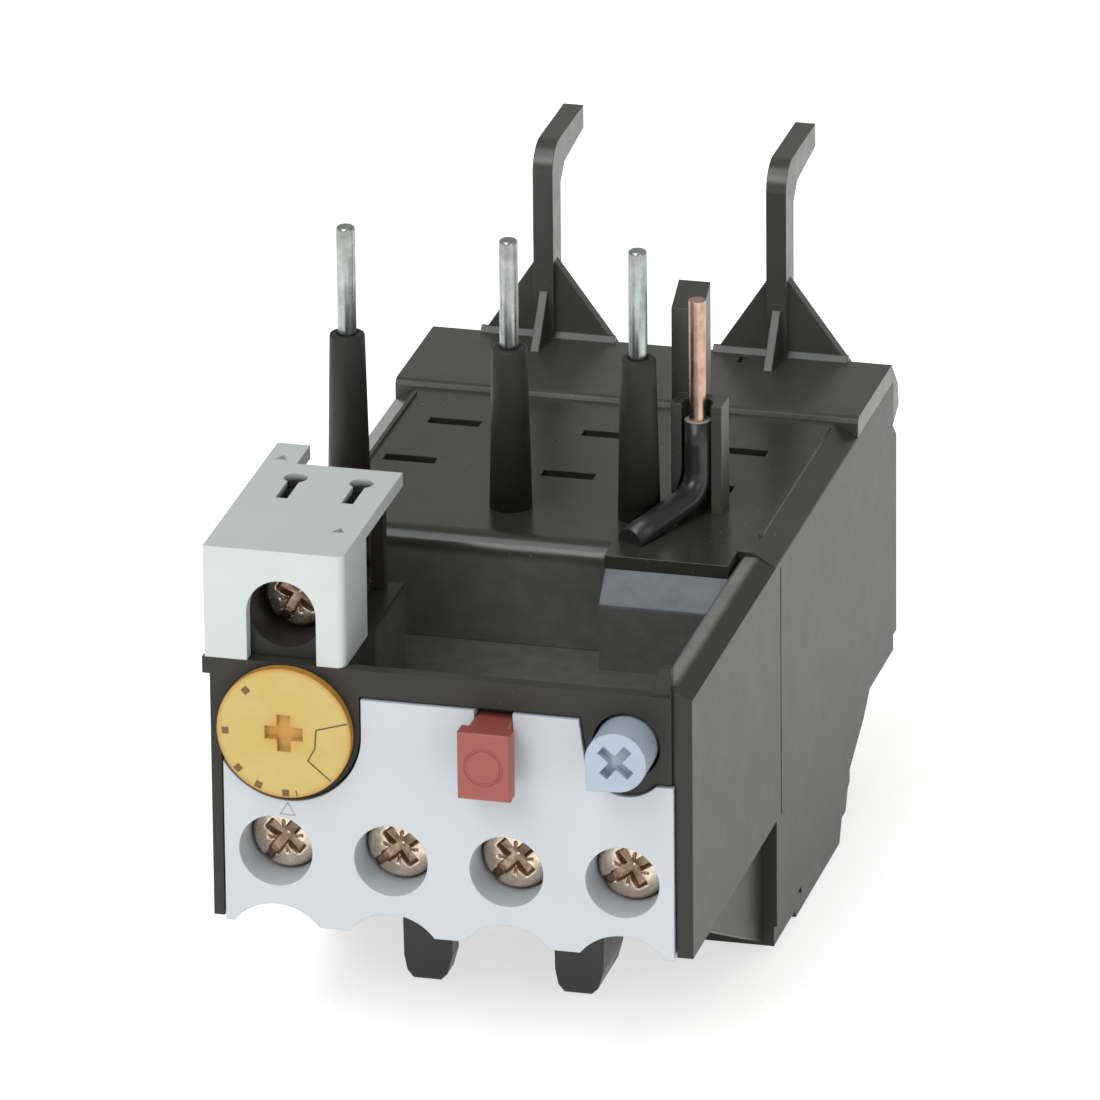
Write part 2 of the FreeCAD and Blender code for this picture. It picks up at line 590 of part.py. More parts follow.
def rear_cap():
    """Raised cap across the back, carrying both hooks in one moulding."""
    front = CAP_FRONT + 0.02
    seat = REAR_DEPTH - CAP_LAP + FIT_GAP
    outline = [(front, SIDE_TOP + 0.02), (front, CAP_TOP - CAP_ROUND),
               (front + CAP_ROUND * 0.3, CAP_TOP - CAP_ROUND * 0.3), (front + CAP_ROUND, CAP_TOP),
               (REAR_DEPTH - CAP_EDGE, CAP_TOP), (REAR_DEPTH + CAP_SHOULDER, CAP_TOP - 2.8),
               (REAR_DEPTH + CAP_LIP, CAP_LAP_TOP + 1.3), (seat, CAP_LAP_TOP + FIT_GAP), (seat, SIDE_TOP + 0.02)]
    body = prism_x(outline, -HALF, HALF)
    body = joined(body, *[hook(side * HOOK_OFFSET) for side in (-1, 1)])
    rib_notches = [box(side * HOOK_OFFSET - 3.4, side * HOOK_OFFSET - 2.6, HOOK_DEPTH - 2.0,
                       HOOK_DEPTH - 0.2, CAP_TOP - 0.5, CAP_TOP + 0.1) for side in (-1, 1)]
    return less(body, *rib_notches)


def hook(x):
    """Upright bar with a rounded knee and an arm reaching back, on a triangular web."""
    back = HOOK_DEPTH + HOOK_BAR
    tip = HOOK_DEPTH + HOOK_REACH
    knee = HOOK_KNEE
    corner = knee * (1 - math.sqrt(0.5))
    outer = Part.makeLine(vec(0, HOOK_DEPTH, CAP_TOP - HOOK_ROOT), vec(0, HOOK_DEPTH, HOOK_TOP - knee))
    bend = Part.Arc(vec(0, HOOK_DEPTH, HOOK_TOP - knee), vec(0, HOOK_DEPTH + corner, HOOK_TOP - corner),
                    vec(0, HOOK_DEPTH + knee, HOOK_TOP)).toShape()
    rest = Part.makePolygon([vec(0, HOOK_DEPTH + knee, HOOK_TOP), vec(0, tip, HOOK_TOP),
                             vec(0, tip, HOOK_TOP - HOOK_TIP), vec(0, back + 1.6, HOOK_TOP - 3.0),
                             vec(0, back, HOOK_TOP - 4.6), vec(0, back, CAP_TOP - HOOK_ROOT),
                             vec(0, HOOK_DEPTH, CAP_TOP - HOOK_ROOT)])
    bar = Part.Face(Part.Wire([outer, bend] + rest.Edges)).extrude(vec(HOOK_WIDTH, 0, 0))
    bar.translate(vec(x - HOOK_WIDTH / 2, 0, 0))
    middle = x + 0.3
    web_front = HOOK_DEPTH + 0.6
    web = prism_y([(middle - WEB_HALF_WIDTH, CAP_TOP - 0.4), (middle + WEB_HALF_WIDTH, CAP_TOP - 0.4),
                   (x + HOOK_WIDTH / 2, WEB_TOP), (x - HOOK_WIDTH / 2, WEB_TOP)],
                  web_front, web_front + WEB_SHEET)
    gusset = prism_x([(HOOK_DEPTH - GUSSET_DEPTH, CAP_TOP - 0.4), (HOOK_DEPTH + 0.2, CAP_TOP - 0.4),
                      (HOOK_DEPTH + 0.2, CAP_TOP + GUSSET_HEIGHT)], x - 0.4, x + 0.4)
    strip = prism_x([(web_front - 0.5, CAP_TOP - 0.1), (web_front + 0.1, CAP_TOP - 0.1),
                     (web_front + 0.1, CAP_TOP + 0.6), (web_front - 0.5, CAP_TOP)],
                    middle - WEB_HALF_WIDTH, middle + WEB_HALF_WIDTH)
    return joined(bar, web, gusset, strip)


# ---------------------------------------------------------------- front plate and auxiliary cover


def circle_face(x, z, radius, y):
    return Part.Face(Part.Wire(Part.makeCircle(radius, vec(x, y, z), vec(0, 1, 0))))


def plate_outline(shrink):
    """Front face of the plate at y = 0: scalloped below, cut away round dial and reset knob."""
    sheet = sheet_xz(PLATE_LEFT + shrink, PLATE_RIGHT - shrink, PLATE_BOTTOM, PLATE_TOP - shrink)
    dial_cut = DIAL_RADIUS + 0.6 + shrink
    knob_cut = PLATE_KNOB_RADIUS + shrink
    knob_z = RESET_Z - PLATE_KNOB_DROP
    left = RESET_X - knob_cut
    leaning = face_of([vec(left, 0, knob_z), vec(HALF, 0, knob_z), vec(HALF, 0, CAP_TOP),
                       vec(left - PLATE_KNOB_LEAN * (CAP_TOP - knob_z) / (PLATE_TOP - knob_z), 0, CAP_TOP)])
    tools = [circle_face(DIAL_X, DIAL_Z, dial_cut, 0),
             sheet_xz(-HALF, DIAL_X + dial_cut, DIAL_Z, CAP_TOP),
             circle_face(RESET_X, knob_z, knob_cut, 0),
             leaning,
             sheet_xz(RESET_X, HALF, PLATE_SHOULDER - shrink, CAP_TOP)]
    for x in TERMINAL_XS:
        tools.append(circle_face(x, PLATE_BOTTOM + SCALLOP_RISE - SCALLOP_RADIUS, SCALLOP_RADIUS, 0))
    return sheet.cut(tools).Faces[0]


def sheet_xz(x0, x1, z0, z1):
    return Part.Face(Part.makePolygon([vec(x0, 0, z0), vec(x1, 0, z0), vec(x1, 0, z1), vec(x0, 0, z1),
                                       vec(x0, 0, z0)]))


def front_plate():
    face = plate_outline(FIT_GAP)
    face.translate(vec(0, -PLATE_PROUD, 0))
    plate = joined(face.extrude(vec(0, PLATE_PROUD + PLATE_SEAT, 0)), bridge(0, 0, BRIDGE_BACK))
    holes = [rod_y(x, TERMINAL_Z, SCREW_HOLE_RADIUS, -1, BRIDGE_BACK + 1) for x in TERMINAL_XS]
    notch = stop_slot(-1, FRONT_WALL_BACK)
    open_top = notch.copy()
    open_top.translate(vec(0, 0, 1.0))
    return less(plate, notch, open_top, *holes)


def arch(x, half, z0, top, y0, y1):
    """Opening with a half-round head."""
    straight = box(x - half, x + half, y0, y1, z0, top - half)
    return joined(straight, rod_y(x, top - half, half, y0, y1))


def aux_terminal_cover():
    """Light cover over the auxiliary terminal, open below, behind and on the right."""
    seat = RIM_TOP + 0.02
    body = box(AUX_LEFT, AUX_RIGHT, 0, AUX_BASE_BACK, seat, AUX_TOP)
    inner = box(AUX_LEFT + AUX_SHEET, AUX_RIGHT - AUX_SHEET, AUX_SHEET, AUX_BASE_BACK + 1,
                seat - 1, AUX_TOP - AUX_SHEET)
    side = box(AUX_RIGHT - AUX_SHEET - 0.1, AUX_RIGHT + 1, AUX_SIDE_BACK, AUX_BASE_BACK + 1,
               seat - 1, AUX_TOP - AUX_SHEET)
    front = arch(AUX_SCREW_X, AUX_ARCH_WIDTH / 2, seat - 1, AUX_ARCH_TOP, -1, AUX_SHEET + 0.1)
    tab = box(AUX_LEFT, AUX_LEFT + 3.1, AUX_BASE_BACK, AUX_BASE_BACK + 4.6, AUX_TOP - AUX_SHEET, AUX_TOP)
    keys = []
    for x in (AUX_SCREW_X - 3.3, AUX_SCREW_X + 2.9):
        keys.append(box(x - 0.55, x + 0.55, 12.6, 17.0, AUX_TOP - 2, AUX_TOP + 1))
        keys.append(rod_z(x, 17.6, 1.1, AUX_TOP - 2, AUX_TOP + 1))
    pits = []
    for x, y in ((AUX_SCREW_X + 3.9, 6.2), (AUX_LEFT + 1.4, AUX_BASE_BACK + 1.2)):
        pits.append(prism_z([(x - 0.6, y - 0.5), (x + 0.6, y - 0.5), (x, y + 0.6)], AUX_TOP - 0.6, AUX_TOP + 1))
    body = less(joined(body, tab), inner, side, front, *(keys + pits))
    corner = edges_where(body, lambda c, e: along(e, vec(0, 0, 1)) and abs(c.x - AUX_RIGHT) < 1e-6
                         and abs(c.y) < 1e-6)
    return body.makeFillet(0.8, corner)


def aux_terminal_block():
    """Black carrier of the auxiliary terminal, with the screw bore and a side wire entry."""
    left = AUX_LEFT + AUX_SHEET + FIT_GAP
    right = AUX_RIGHT - AUX_SHEET - FIT_GAP
    seat = RIM_TOP + 0.02
    body = box(left, right, AUX_BLOCK_FRONT, AUX_BLOCK_BACK, seat, AUX_TOP - AUX_SHEET - FIT_GAP)
    bore = rod_y(AUX_SCREW_X, AUX_SCREW_Z, SCREW_HOLE_RADIUS, 0, CAGE_FRONT + AUX_SET_BACK)
    room = CAGE_WIDTH / 2 + MOVING_GAP
    depth = CAGE_HEIGHT / 2 + 2.0
    chamber = box(AUX_SCREW_X - depth, right + 1, BRIDGE_BACK + AUX_SET_BACK,
                  CAGE_BACK + AUX_SET_BACK + CAGE_SHEET + MOVING_GAP, seat - 1, AUX_SCREW_Z + room)
    slot = box(AUX_RISER_LEFT - FIT_GAP, AUX_RISER_RIGHT + FIT_GAP, AUX_TONGUE_FRONT - FIT_GAP,
               AUX_TONGUE_BACK + FIT_GAP, seat - 1, AUX_SCREW_Z)
    return less(body, bore, chamber, slot)


# ---------------------------------------------------------------- terminals


def terminal_screw(x, z):
    """Cross-head screw, turned as it was left."""
    head = rod_y(x, z, HEAD_RADIUS, HEAD_FRONT, HEAD_BACK)
    shank = rod_y(x, z, SHANK_RADIUS, HEAD_BACK, TONGUE_FRONT - 0.1)
    screw = less(joined(head, shank), cross_recess(x, z, HEAD_FRONT, 3.8, 0.9, 1.0))
    screw.rotate(vec(x, 0, z), vec(0, 1, 0), 40)
    return screw


def cage(x, z):
    """Sheet cage around the wire space, open above and below, with a threaded front."""
    half = CAGE_WIDTH / 2
    z0 = z - CAGE_HEIGHT / 2
    z1 = z + CAGE_HEIGHT / 2
    outer = box(x - half, x + half, CAGE_FRONT, CAGE_BACK + CAGE_SHEET, z0, z1)
    edges = edges_where(outer, lambda c, e: along(e, vec(0, 0, 1)))
    outer = outer.makeChamfer(0.6, edges)
    inner = box(x - half + CAGE_SHEET, x + half - CAGE_SHEET, CAGE_FRONT + CAGE_NUT, CAGE_BACK, z0 - 1, z1 + 1)
    bore = rod_y(x, z, SHANK_RADIUS + RUNNING_GAP, CAGE_FRONT - 1, CAGE_FRONT + CAGE_NUT + 1)
    return less(outer, inner, bore)


def turned_about_y(shape, x, z, degrees):
    turned = shape.copy()
    turned.rotate(vec(x, 0, z), vec(0, 1, 0), degrees)
    return turned


def set_back(shape):
    """Moved back to the depth of the auxiliary terminal."""
    shape.translate(vec(0, AUX_SET_BACK, 0))
    return shape


def load_bar(number):
    """Tongue in the cage, then a flat bar to the foot of the pole's heater."""
    x = TERMINAL_XS[number]
    half = TONGUE_WIDTH / 2
    tongue = box(x - half, x + half, TONGUE_FRONT, TONGUE_BACK, FLOOR_TOP + 1.0, BUS_TOP)
    end = POLE_XS[number] - BIMETAL_SHEET / 2 - HEATER_SHEET - 0.4
    y1 = 24.0
    y2 = PIN_DEPTH - 1.0
    y3 = BIMETAL_DEPTH + 1.0
    narrow = 1.8
    bar = prism_z([(x - half, TONGUE_FRONT), (x + half, TONGUE_FRONT), (x + half, y1),
                   (end, y2), (end, y3), (end - 2 * narrow, y3), (end - 2 * narrow, y2 + 1.0),
                   (x - half, y1 + 1.0)], BUS_BOTTOM, BUS_TOP)
    return joined(tongue, bar)


def control_bar():
    """Tongue of the fourth terminal, folded back over the contact block."""
    x = TERMINAL_XS[3]
    half = TONGUE_WIDTH / 2
    tongue = box(x - half, x + half, TONGUE_FRONT, TONGUE_BACK, FLOOR_TOP + 1.0, BUS_TOP)
    bar = box(x - half, x + half, TONGUE_FRONT, ROCKER_FRONT - 1.5, BUS_BOTTOM, BUS_TOP)
    return joined(tongue, bar)


def aux_bar():
    """Tongue through the auxiliary cage, on a riser that comes up through the base."""
    half = TONGUE_WIDTH / 2
    tongue = box(AUX_RISER_LEFT, AUX_SCREW_X + CAGE_HEIGHT / 2, AUX_TONGUE_FRONT, AUX_TONGUE_BACK,
                 AUX_SCREW_Z - half, AUX_SCREW_Z + half)
    riser = box(AUX_RISER_LEFT, AUX_RISER_RIGHT, AUX_TONGUE_FRONT, AUX_TONGUE_BACK,
                BUS_TOP + 0.3, AUX_SCREW_Z)
    return joined(tongue, riser)


# ---------------------------------------------------------------- controls


def cross_recess(x, z, face, length, width, depth):
    """Cross-shaped tool recess in a round head."""
    across = box(x - length / 2, x + length / 2, face - 1, face + depth, z - width / 2, z + width / 2)
    upright = box(x - width / 2, x + width / 2, face - 1, face + depth, z - length / 2, z + length / 2)
    return across.fuse(upright)


def setting_dial():
    """Setting disc with a cross recess for a screwdriver."""
    face = DIAL_BACK - DIAL_THICKNESS
    disc = rod_y(DIAL_X, DIAL_Z, DIAL_RADIUS, face, DIAL_BACK)
    return less(disc, cross_recess(DIAL_X, DIAL_Z, face, DIAL_CROSS_LENGTH, DIAL_CROSS_WIDTH,
                                   DIAL_CROSS_DEPTH))


def cam_points():
    """Spiral cam: its radius grows evenly over the dial's sweep and falls back behind."""
    points = []
    steps = 10
    for i in range(steps + 1):
        angle = DIAL_SWEEP * i / steps
        radius = CAM_START_RADIUS + CAM_LIFT_PER_DEGREE * angle
        points.append((DIAL_X + radius * math.cos(math.radians(-angle)),
                       DIAL_Z + radius * math.sin(math.radians(-angle))))
    back = 1.9
    for angle in (160, 200, 240, 280, 320):
        points.append((DIAL_X + back * math.cos(math.radians(-angle)),
                       DIAL_Z + back * math.sin(math.radians(-angle))))
    return points


def dial_spindle():
    stem = rod_y(DIAL_X, DIAL_Z, SPINDLE_RADIUS, DIAL_BACK, FRONT_WALL_BACK + 0.4)
    cam = prism_y(cam_points(), FRONT_WALL_BACK + 0.3, FRONT_WALL_BACK + 2.6)
    tail = rod_y(DIAL_X, DIAL_Z, 1.2, FRONT_WALL_BACK + 2.6, MECHANISM_BACK - RIM_THICKNESS - 0.3)
    return joined(stem, cam, tail)


def cam_follower():
    """Setting slide moved sideways by the cam."""
    x0 = DIAL_X + CAM_START_RADIUS + 0.15
    z0 = DIAL_Z - 1.1
    y0 = FRONT_WALL_BACK + MOVING_GAP
    pad = box(x0, x0 + 1.0, y0, y0 + 2.0, z0, z0 + 1.6)
    arm = box(x0, x0 + 9.0, y0 + 0.4, y0 + 1.6, z0, z0 + 1.2)
    return joined(pad, arm)


def stop_button():
    """Square-headed slider with a thinner stem near its top."""
    half = STOP_WIDTH / 2
    z1 = STOP_Z + STOP_HEIGHT / 2
    head = box(STOP_X - half, STOP_X + half, STOP_FACE, STOP_FACE + STOP_THICKNESS, z1 - STOP_HEIGHT, z1)
    head = head.makeChamfer(0.15, edges_where(head, lambda c, e: abs(c.y - STOP_FACE) < 1e-6))
    stem_half = STOP_STEM_WIDTH / 2
    stem = box(STOP_X - stem_half, STOP_X + stem_half, STOP_FACE + 0.5, STOP_STEM_BACK, z1 - STOP_STEM_HEIGHT, z1)
    slope = prism_x([(STOP_STEM_BACK - STOP_SLOPE_LENGTH, z1 + 0.01), (STOP_STEM_BACK + 0.1, z1 + 0.01),
                     (STOP_STEM_BACK + 0.1, z1 - STOP_STEM_SLOPE)], STOP_X - half, STOP_X + half)
    return less(joined(head, stem), slope)


def reset_knob():
    """Round knob with a pointer nose, a cross recess and a plunger behind."""
    knob_back = FRONT_WALL_BACK - RESET_TRAVEL
    knob = rod_y(RESET_X, RESET_Z, RESET_RADIUS, RESET_FACE, knob_back)
    nose = prism_y([(RESET_X - RESET_RADIUS, RESET_Z), (RESET_X - RESET_RADIUS + 0.1, RESET_Z - RESET_NOSE),
                    (RESET_X, RESET_Z - RESET_RADIUS)], RESET_FACE, -PLATE_PROUD - RESET_TRAVEL - MOVING_GAP)
    stem = rod_y(RESET_X, RESET_Z, RESET_STEM_RADIUS, knob_back, RESET_STEM_BACK)
    body = joined(knob, nose, stem)
    cross = cross_recess(RESET_X, RESET_Z, RESET_FACE, 3.6, 0.9, 1.0)
    cross.rotate(vec(RESET_X, 0, RESET_Z), vec(0, 1, 0), 40)
    return less(body, cross)


def reset_selector():
    """Collar around the plunger that is turned to manual or automatic."""
    y0 = FRONT_WALL_BACK + 0.3
    y1 = y0 + 1.4
    ring = rod_y(RESET_X, RESET_Z, SELECTOR_RADIUS, y0, y1)
    lobe = box(RESET_X - 0.8, RESET_X + 0.8, y0, y1, RESET_Z - 3.6, RESET_Z)
    bore = rod_y(RESET_X, RESET_Z, RESET_STEM_RADIUS + RUNNING_GAP, y0 - 1, y1 + 1)
    return less(joined(ring, lobe), bore)


def spring_outline(x, z, radius):
    sides = 10
    return [(x + radius * math.cos(2 * math.pi * i / sides), z + radius * math.sin(2 * math.pi * i / sides))
            for i in range(sides)]


def return_spring(x, z, radius, y0, y1):
    """Open coil drawn as a stack of fine rings joined by one wire line."""
    turns = 3
    step = (y1 - y0 - 2 * SPRING_WIRE) / (turns - 1)
    coil = None
    for i in range(turns):
        middle = y0 + SPRING_WIRE + i * step
        ring = less(prism_y(spring_outline(x, z, radius), middle - SPRING_WIRE, middle + SPRING_WIRE),
                    prism_y(spring_outline(x, z, radius - 0.5), middle - 1, middle + 1))
        coil = ring if coil is None else coil.fuse(ring)
    spine = box(x - 0.25, x + 0.25, y0, y1, z - radius, z - radius + 0.5)
    return coil.fuse(spine).removeSplitter()


# ---------------------------------------------------------------- pins, lead and guide


def pin_shank(x, gap, z0, z1):
    half = PIN_SHANK / 2 + gap
    return box(x - half, x + half, PIN_DEPTH - half, PIN_DEPTH + half, z0, z1)


def line_pin(x):
    """Bare end for the contactor's terminal, on a square shank inside the sleeve."""
    bare = rod_z(x, PIN_DEPTH, PIN_RADIUS, BARE_PIN_BOTTOM, PIN_TOP)
    return joined(bare, pin_shank(x, 0, SIDE_TOP - 2.4, BARE_PIN_BOTTOM))


def ring_of_points(x, y, radius, z):
    """Level polygon with so many sides that it stands for a circle."""
    turn = 2 * math.pi / SLEEVE_SIDES
    points = [vec(x + radius * math.cos(i * turn), y + radius * math.sin(i * turn), z)
              for i in range(SLEEVE_SIDES)]
    return Part.makePolygon(points + [points[0]])


def pin_sleeve(x):
    """Tapered insulating sleeve that stands on the deck."""
    ends = ((SLEEVE_BASE_RADIUS, DECK_TOP), (SLEEVE_TOP_RADIUS, BARE_PIN_BOTTOM))
    sections = [ring_of_points(x, PIN_DEPTH, radius, z) for radius, z in ends]
    return less(Part.makeLoft(sections, True, True), pin_shank(x, 0, DECK_TOP - 1, BARE_PIN_BOTTOM + 1))


def line_strap(number):
    """Flat strap under the deck from the pin to the pole's bimetal."""
    x = PIN_XS[number]
    end = POLE_XS[number]
    z1 = SIDE_TOP - 2.4
    z0 = z1 - 0.8
    y0 = PIN_DEPTH
    y1 = BIMETAL_DEPTH
    half = PIN_SHANK / 2
    return joined(box(x - half, x + half, y0 - half, y0, z0, z1),
                  prism_z([(x - half, y0), (x + half, y0), (end + 2.0, y1 + 2.5), (end - 2.0, y1 + 2.5)], z0, z1))


def lead_tube(radius):
    """Control lead: straight down from the guide, one bend, then forward along the deck."""
    corner = vec(LEAD_X, LEAD_DEPTH, LEAD_BEND_Z)
    end = vec(*LEAD_END)
    out = end.sub(corner).normalize()
    down = vec(0, 0, -1)
    before = corner.sub(down * LEAD_BEND)
    after = corner.add(out * LEAD_BEND)
    points = [vec(LEAD_X, LEAD_DEPTH, LEAD_SKIN_TOP)]
    for i in range(LEAD_BEND_STEPS + 1):
        t = i / LEAD_BEND_STEPS
        points.append(before * (1 - t) ** 2 + corner * (2 * t * (1 - t)) + after * t ** 2)
    points.append(end)
    start = Part.Wire(Part.makeCircle(radius, points[0], down))
    return Part.makePolygon(points).makePipeShell([start], True, False, 1)


def control_lead_core():
    return rod_z(LEAD_X, LEAD_DEPTH, LEAD_CORE_RADIUS, LEAD_SKIN_TOP, LEAD_TOP)


def channel_face(inner, outer, front, back, z):
    """U-shaped plan of the guide: open to the front, round at the back of its slot."""
    middle = LEAD_DEPTH
    arc = Part.Arc(vec(LEAD_X - inner, middle, z), vec(LEAD_X, middle + inner, z),
                   vec(LEAD_X + inner, middle, z)).toShape()
    rest = Part.makePolygon([vec(LEAD_X + inner, middle, z), vec(LEAD_X + inner, front, z),
                             vec(LEAD_X + outer, front, z), vec(LEAD_X + outer, back, z),
                             vec(LEAD_X - outer, back, z), vec(LEAD_X - outer, front, z),
                             vec(LEAD_X - inner, front, z), vec(LEAD_X - inner, middle, z)])
    return Part.Face(Part.Wire([arc] + rest.Edges))


def lead_guide():
    """Open-fronted channel that holds the lead upright, with a tall post behind it."""
    inner = LEAD_SKIN_RADIUS + FIT_GAP
    outer = inner + GUIDE_WALL
    back = LEAD_DEPTH + outer
    channel = channel_face(inner, outer, LEAD_DEPTH - 0.6, back, DECK_TOP).extrude(vec(0, 0, GUIDE_HEIGHT))
    x0 = LEAD_X - outer - 0.6
    post = prism_x([(back - 0.2, DECK_TOP), (back + POST_DEPTH, DECK_TOP), (back + POST_DEPTH, POST_TOP),
                    (back - 0.2, POST_TOP - POST_SLOPE)], x0, x0 + POST_WIDTH)
    return less(joined(channel, post), lead_tube(inner + FIT_GAP))


# ---------------------------------------------------------------- thermal trip


def bimetal(number):
    x = POLE_XS[number]
    half = BIMETAL_WIDTH / 2
    strip = box(x - BIMETAL_SHEET / 2, x + BIMETAL_SHEET / 2, BIMETAL_DEPTH - half, BIMETAL_DEPTH + half,
                HEATER_BOTTOM - 2.0, SIDE_TOP - 3.2)
    finger = box(x - BIMETAL_SHEET / 2, x + BIMETAL_SHEET / 2, BIMETAL_DEPTH - 1.2, BIMETAL_DEPTH + 1.2,
                 BIMETAL_BOTTOM, HEATER_BOTTOM - 2.0)
    return joined(strip, finger)


def heater(number):
    """Flat ribbon wound round the strip, one band per turn, joined along one edge."""
    x = POLE_XS[number]
    half_x = BIMETAL_SHEET / 2 + FIT_GAP
    half_y = BIMETAL_WIDTH / 2 + FIT_GAP
    wound = None
    for i in range(HEATER_TURNS):
        z0 = HEATER_BOTTOM + i * HEATER_PITCH
        band = less(box(x - half_x - HEATER_SHEET, x + half_x + HEATER_SHEET, BIMETAL_DEPTH - half_y - HEATER_SHEET,
                        BIMETAL_DEPTH + half_y + HEATER_SHEET, z0, z0 + HEATER_RIBBON),
                    box(x - half_x, x + half_x, BIMETAL_DEPTH - half_y, BIMETAL_DEPTH + half_y,
                        z0 - 1, z0 + HEATER_RIBBON + 1))
        wound = band if wound is None else wound.fuse(band)
    top = HEATER_BOTTOM + HEATER_TURNS * HEATER_PITCH
    spine = box(x + half_x, x + half_x + HEATER_SHEET, BIMETAL_DEPTH - 0.8, BIMETAL_DEPTH + 0.8, HEATER_BOTTOM, top)
    return wound.fuse(spine).removeSplitter()


def trip_bar(z0):
    """Slide that all three bimetals push; each has a window with room for the return stroke."""
    half = SLIDE_WIDTH / 2
    end = ROCKER_X - ROCKER_RADIUS - MOVING_GAP - 0.2
    bar = box(-INNER_HALF + 2.0, end, BIMETAL_DEPTH - half, BIMETAL_DEPTH + half, z0, z0 + SLIDE_SHEET)
    windows = []
    for x in POLE_XS:
        windows.append(box(x - BIMETAL_SHEET / 2 - SLIDE_TRAVEL - MOVING_GAP, x + BIMETAL_SHEET / 2 + MOVING_GAP,
                           BIMETAL_DEPTH - 1.2 - MOVING_GAP, BIMETAL_DEPTH + 1.2 + MOVING_GAP, z0 - 1,
                           z0 + SLIDE_SHEET + 1))
    return less(bar, *windows)


def trip_rocker():
    """Rocking shaft: its long arm is pushed by the slides, its short arm throws the contacts."""
    back = BIMETAL_DEPTH + 2.0
    shaft = rod_y(ROCKER_X, ROCKER_Z, ROCKER_RADIUS, ROCKER_FRONT, back)
    long_arm = box(ROCKER_X - ROCKER_RADIUS, ROCKER_X + ROCKER_RADIUS, BIMETAL_DEPTH - 1.5, back,
                   SLIDE_BOTTOM + 0.2, ROCKER_Z)
    short_arm = box(ROCKER_X - 0.8, ROCKER_X + 0.8, ROCKER_FRONT, ROCKER_FRONT + 2.6, ROCKER_Z, ROCKER_Z + 4.6)
    return joined(shaft, long_arm, short_arm)


def rocker_bearing(y0):
    """Upright bearing of the rocking shaft."""
    plate = box(ROCKER_X - 2.4, INNER_HALF - FIT_GAP, y0, y0 + 1.6, ROCKER_Z - 3.0, ROCKER_Z + 3.0)
    return less(plate, rod_y(ROCKER_X, ROCKER_Z, ROCKER_RADIUS + RUNNING_GAP, y0 - 1, y0 + 3))


def contact_slider():
    """Plunger that carries the moving contact bridge."""
    x1 = ROCKER_X - 0.8 - MOVING_GAP
    z0 = ROCKER_Z + 2.2
    body = box(x1 - 5.0, x1, ROCKER_FRONT, ROCKER_FRONT + 2.6, z0, z0 + 2.0)
    bridge = box(x1 - 3.4, x1 - 2.8, ROCKER_FRONT - 2.6, ROCKER_FRONT + 5.2, z0 + 0.4, z0 + 1.6)
    return joined(body, bridge)


def fixed_contact(offset):
    """Standing contact with its stud, one each side of the bridge."""
    x1 = ROCKER_X - 0.8 - MOVING_GAP - 2.8
    y0 = ROCKER_FRONT + offset
    post = box(x1 + 0.3, x1 + 1.1, y0, y0 + 1.8, FLOOR_TOP, ROCKER_Z + 4.0)
    return post


def main():
    os.makedirs("parts", exist_ok=True)
    save("front_housing", front_housing())
    save("terminal_block", terminal_block())
    save("rear_housing", rear_housing())
    save("top_cover", top_cover())
    save("rear_cap", rear_cap())
    save("front_plate", front_plate())
    save("aux_terminal_cover", aux_terminal_cover())
    save("aux_terminal_block", aux_terminal_block())
    for i, x in enumerate(TERMINAL_XS):
        save("terminal_screw_%d" % (i + 1), terminal_screw(x, TERMINAL_Z))
        save("terminal_cage_%d" % (i + 1), cage(x, TERMINAL_Z))
    for i in range(3):
        save("load_bar_%d" % (i + 1), load_bar(i))
        save("line_pin_%d" % (i + 1), line_pin(PIN_XS[i]))
        save("pin_sleeve_%d" % (i + 1), pin_sleeve(PIN_XS[i]))
        save("line_strap_%d" % (i + 1), line_strap(i))
        save("bimetal_%d" % (i + 1), bimetal(i))
        save("heater_%d" % (i + 1), heater(i))
    save("control_bar", control_bar())
    save("aux_bar", aux_bar())
    save("aux_screw", set_back(terminal_screw(AUX_SCREW_X, AUX_SCREW_Z)))
    upright_cage = turned_about_y(cage(AUX_SCREW_X, AUX_SCREW_Z), AUX_SCREW_X, AUX_SCREW_Z, 90)
    save("aux_cage", set_back(upright_cage))
    save("setting_dial", setting_dial())
    save("dial_spindle", dial_spindle())
    save("cam_follower", cam_follower())
    save("stop_button", stop_button())
    spring_back = MECHANISM_BACK - RIM_THICKNESS
    save("stop_spring", return_spring(STOP_X, STOP_Z + STOP_SPRING_RISE, STOP_SPRING_RADIUS,
                                      STOP_STEM_BACK, spring_back))
    save("reset_spring", return_spring(RESET_X, RESET_SPRING_Z, RESET_SPRING_RADIUS,
                                       RESET_STEM_BACK, spring_back))
    save("reset_knob", reset_knob())
    save("reset_selector", reset_selector())
    save("control_lead_core", control_lead_core())
    save("control_lead_sleeve", lead_tube(LEAD_SKIN_RADIUS))
    save("lead_guide", lead_guide())
    save("trip_slide", trip_bar(SLIDE_BOTTOM))
    save("return_slide", trip_bar(SLIDE_BOTTOM + SLIDE_SHEET + MOVING_GAP))
    save("trip_rocker", trip_rocker())
    save("rocker_bearing", rocker_bearing(ROCKER_FRONT + BEARING_SET_BACK))
    save("contact_slider", contact_slider())
    save("fixed_contacts", Part.makeCompound([fixed_contact(-CONTACT_REACH), fixed_contact(BEARING_SET_BACK - 0.6)]))


main()
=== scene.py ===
import math

import bmesh
import bpy
from mathutils import Matrix, Vector


